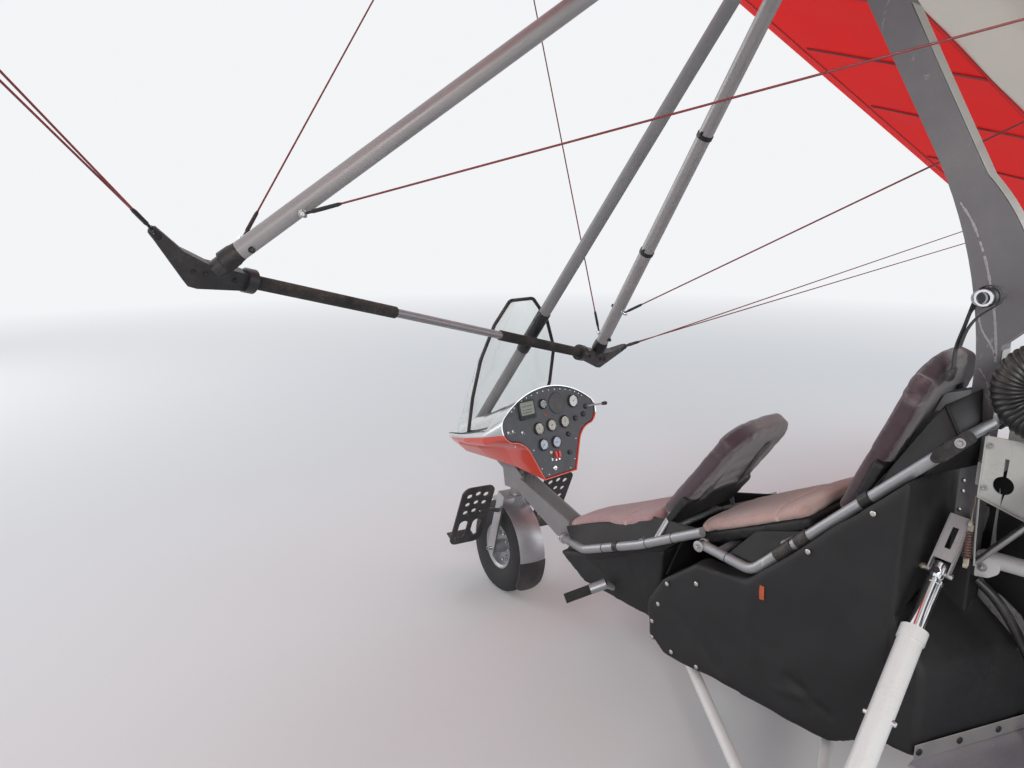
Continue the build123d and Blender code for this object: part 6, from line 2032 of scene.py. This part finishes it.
# %% Small fittings
bm = bmesh.new()
for side in (1, -1):
    middle = on_side(side, LEG_FOOT).lerp(on_side(side, LEG_PIN), 0.515)
    for way in (1, -1):
        turned(bm, middle + Vector((0, way * 27, 0)), (0, way, 0), [(0, 9), (2, 9), (2, 6.4), (9, 6), (11, 3)], 16)
    turned(bm, (side * 58, -1391, 386), (side, 0, 0), [(-4, 11), (17, 11), (18.5, 9), (18.5, 3.5), (16, 3)], 20)
    turned(bm, (side * 25, -1010, 262), (side * 175, -40, 110), [(2, 12), (206, 12)], 20, 1)
    turned(bm, (side * 194, -1047, 371), (side * 114, -82, -48), [(0, 12), (1, 18), (58, 18), (59, 16)], 24, 1)
    spot = Vector((side * 58, -1391, 386)).lerp(Vector((side * 196, -1152, 462)), 0.04)
    turned(bm, spot, (138 * side, 239, 76), [(0, 15.4), (1, 17.4), (22, 17.4), (23, 15.4)], 24, 1)
piece("bright_fittings", bm, [CHROME, LIGHT_ALLOY])
bm = bmesh.new()
for side in (1, -1):
    line = [(side * 238, -1612, 802), (side * 206, -1800, 748), (side * 152, -1960, 704), (side * 100, -2050, 672)]
    ribbon(bm, smooth_run(line, 6), (0, 0, 1), 5, 3)
piece("pod_seam", bm, BLACK_PLASTIC)
print("small fittings", 2)

# %% [markdown]
# Each CAD piece that still shows takes its finish by name. Their meshes are left as they are.

# %% Paint the CAD pieces
paint("front_strut steering_head nose_beam", GREY_COAT)
# The mast takes a darker copy and the uprights a lighter copy of the strut's grey: painted shade and painted light.
paint("mast", MAST_GREY_SHADED)
paint("uprights", GREY_TUBE_LIT)
paint("nose_guard", GUARD_SILVER)
paint("keel_beam seat_frame_front seat_frame_rear cross_tubes base_bar wing_keel hang_block kingpost", LIGHT_ALLOY)
paint("port_rim starboard_rim nose_rim prop_hub", LIGHT_ALLOY)
paint("gear_arms leg_tubes", WHITE_COAT)
paint("mast_head axles nose_fork", STEEL)
paint("strut_sleeve screen_hoop guard_flap", BLACK_PLASTIC)
paint("pedals apex_bracket corner_brackets", BLACK_COAT)
paint("pod_shell", SHELL_RED)
paint("pod_cap", CAP_SILVER)
paint("instrument_panel", SLATE)
paint("front_backrest rear_backrest", DARK_VELOUR)
paint("fairing front_belly", BLACK_CLOTH)
paint("engine_tray", LAVENDER_TRAY)
paint("crankcase cylinders", CAST_METAL)
paint("exhaust", EXHAUST)
paint("prop_blades", BLADE)
paint("foot_pegs bar_grips", FOAM)
paint("rigging", RED_CABLE)
paint("windscreen", SCREEN)

# %% [markdown]
# A plain pale floor and soft lamps. White seen by the camera comes from the colour of the
# floor and the sky, not from more light on the aircraft.

# %% Stage
BACKDROP = (0.90, 0.91, 0.93, 1)


def seen_ray(tree):
    path = add(tree, "LightPath")
    seen = math_node(tree, "MAXIMUM", path.outputs["Is Camera Ray"], path.outputs["Is Glossy Ray"])
    return math_node(tree, "MAXIMUM", seen, path.outputs["Is Transmission Ray"])


def floor_material():
    """Pale matt floor that runs into the backdrop's colour a few metres out."""
    material = bpy.data.materials.new("pale_floor")
    material.use_nodes = True
    tree = material.node_tree
    shader = tree.nodes["Principled BSDF"]
    shader.inputs["Base Color"].default_value = (0.74, 0.74, 0.73, 1)
    shader.inputs["Roughness"].default_value = 0.9
    shader.inputs["Specular IOR Level"].default_value = 0.0
    reach = add(tree, "VectorMath", {"operation": "LENGTH"}, {0: object_point(tree)}).outputs["Value"]
    far = math_node(tree, "MULTIPLY", ramp(tree, reach, 3.5, 13.0), seen_ray(tree))
    glow = add(tree, "Emission", None, {"Color": BACKDROP, "Strength": 1.0})
    mixed = add(tree, "MixShader", None, {0: far, 1: shader.outputs[0], 2: glow.outputs[0]})
    tree.links.new(mixed.outputs[0], tree.nodes["Material Output"].inputs[0])
    return material


bpy.ops.mesh.primitive_plane_add(size=160, location=(0, 0, 0))
floor = bpy.context.object
floor.name = "floor"
floor.data.materials.append(floor_material())
floor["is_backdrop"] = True

# %% Sky
world = bpy.data.worlds.new("studio")
scene.world = world
world.use_nodes = True
sky = world.node_tree
sky.nodes.clear()
seen = seen_ray(sky)
color = mix_color(sky, seen, (0.74, 0.80, 0.90, 1), BACKDROP)
level = math_node(sky, "ADD", math_node(sky, "MULTIPLY", seen, 0.38), 0.62)
backdrop = add(sky, "Background", None, {"Color": color, "Strength": level})
sky.links.new(backdrop.outputs[0], add(sky, "OutputWorld").inputs[0])


# %% Lamps
def lamp(name, place_at, aim, size, power, tint=(1, 1, 1)):
    data = bpy.data.lights.new(name, "AREA")
    data.shape = "DISK"
    data.size = size
    data.energy = power
    data.color = tint
    lamp_object = bpy.data.objects.new(name, data)
    scene.collection.objects.link(lamp_object)
    lamp_object.location = place_at
    lamp_object.rotation_euler = (Vector(aim) - Vector(place_at)).to_track_quat("-Z", "Y").to_euler()


lamp("key", (7.0, 6.0, 5.0), (0, -0.2, 1.0), 3.0, 430, (1, 0.97, 0.93))
lamp("fill", (-7.0, 5.0, 3.0), (0, 0, 1.0), 5.0, 120, (0.94, 0.97, 1))
lamp("front", (3.0, -8.5, 3.0), (0, -0.5, 1.0), 4.0, 150)
lamp("above", (0.0, 0.0, 9.0), (0, 0, 1.5), 6.0, 220)
print("lamps", 4)

# %% Finish
low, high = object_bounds()
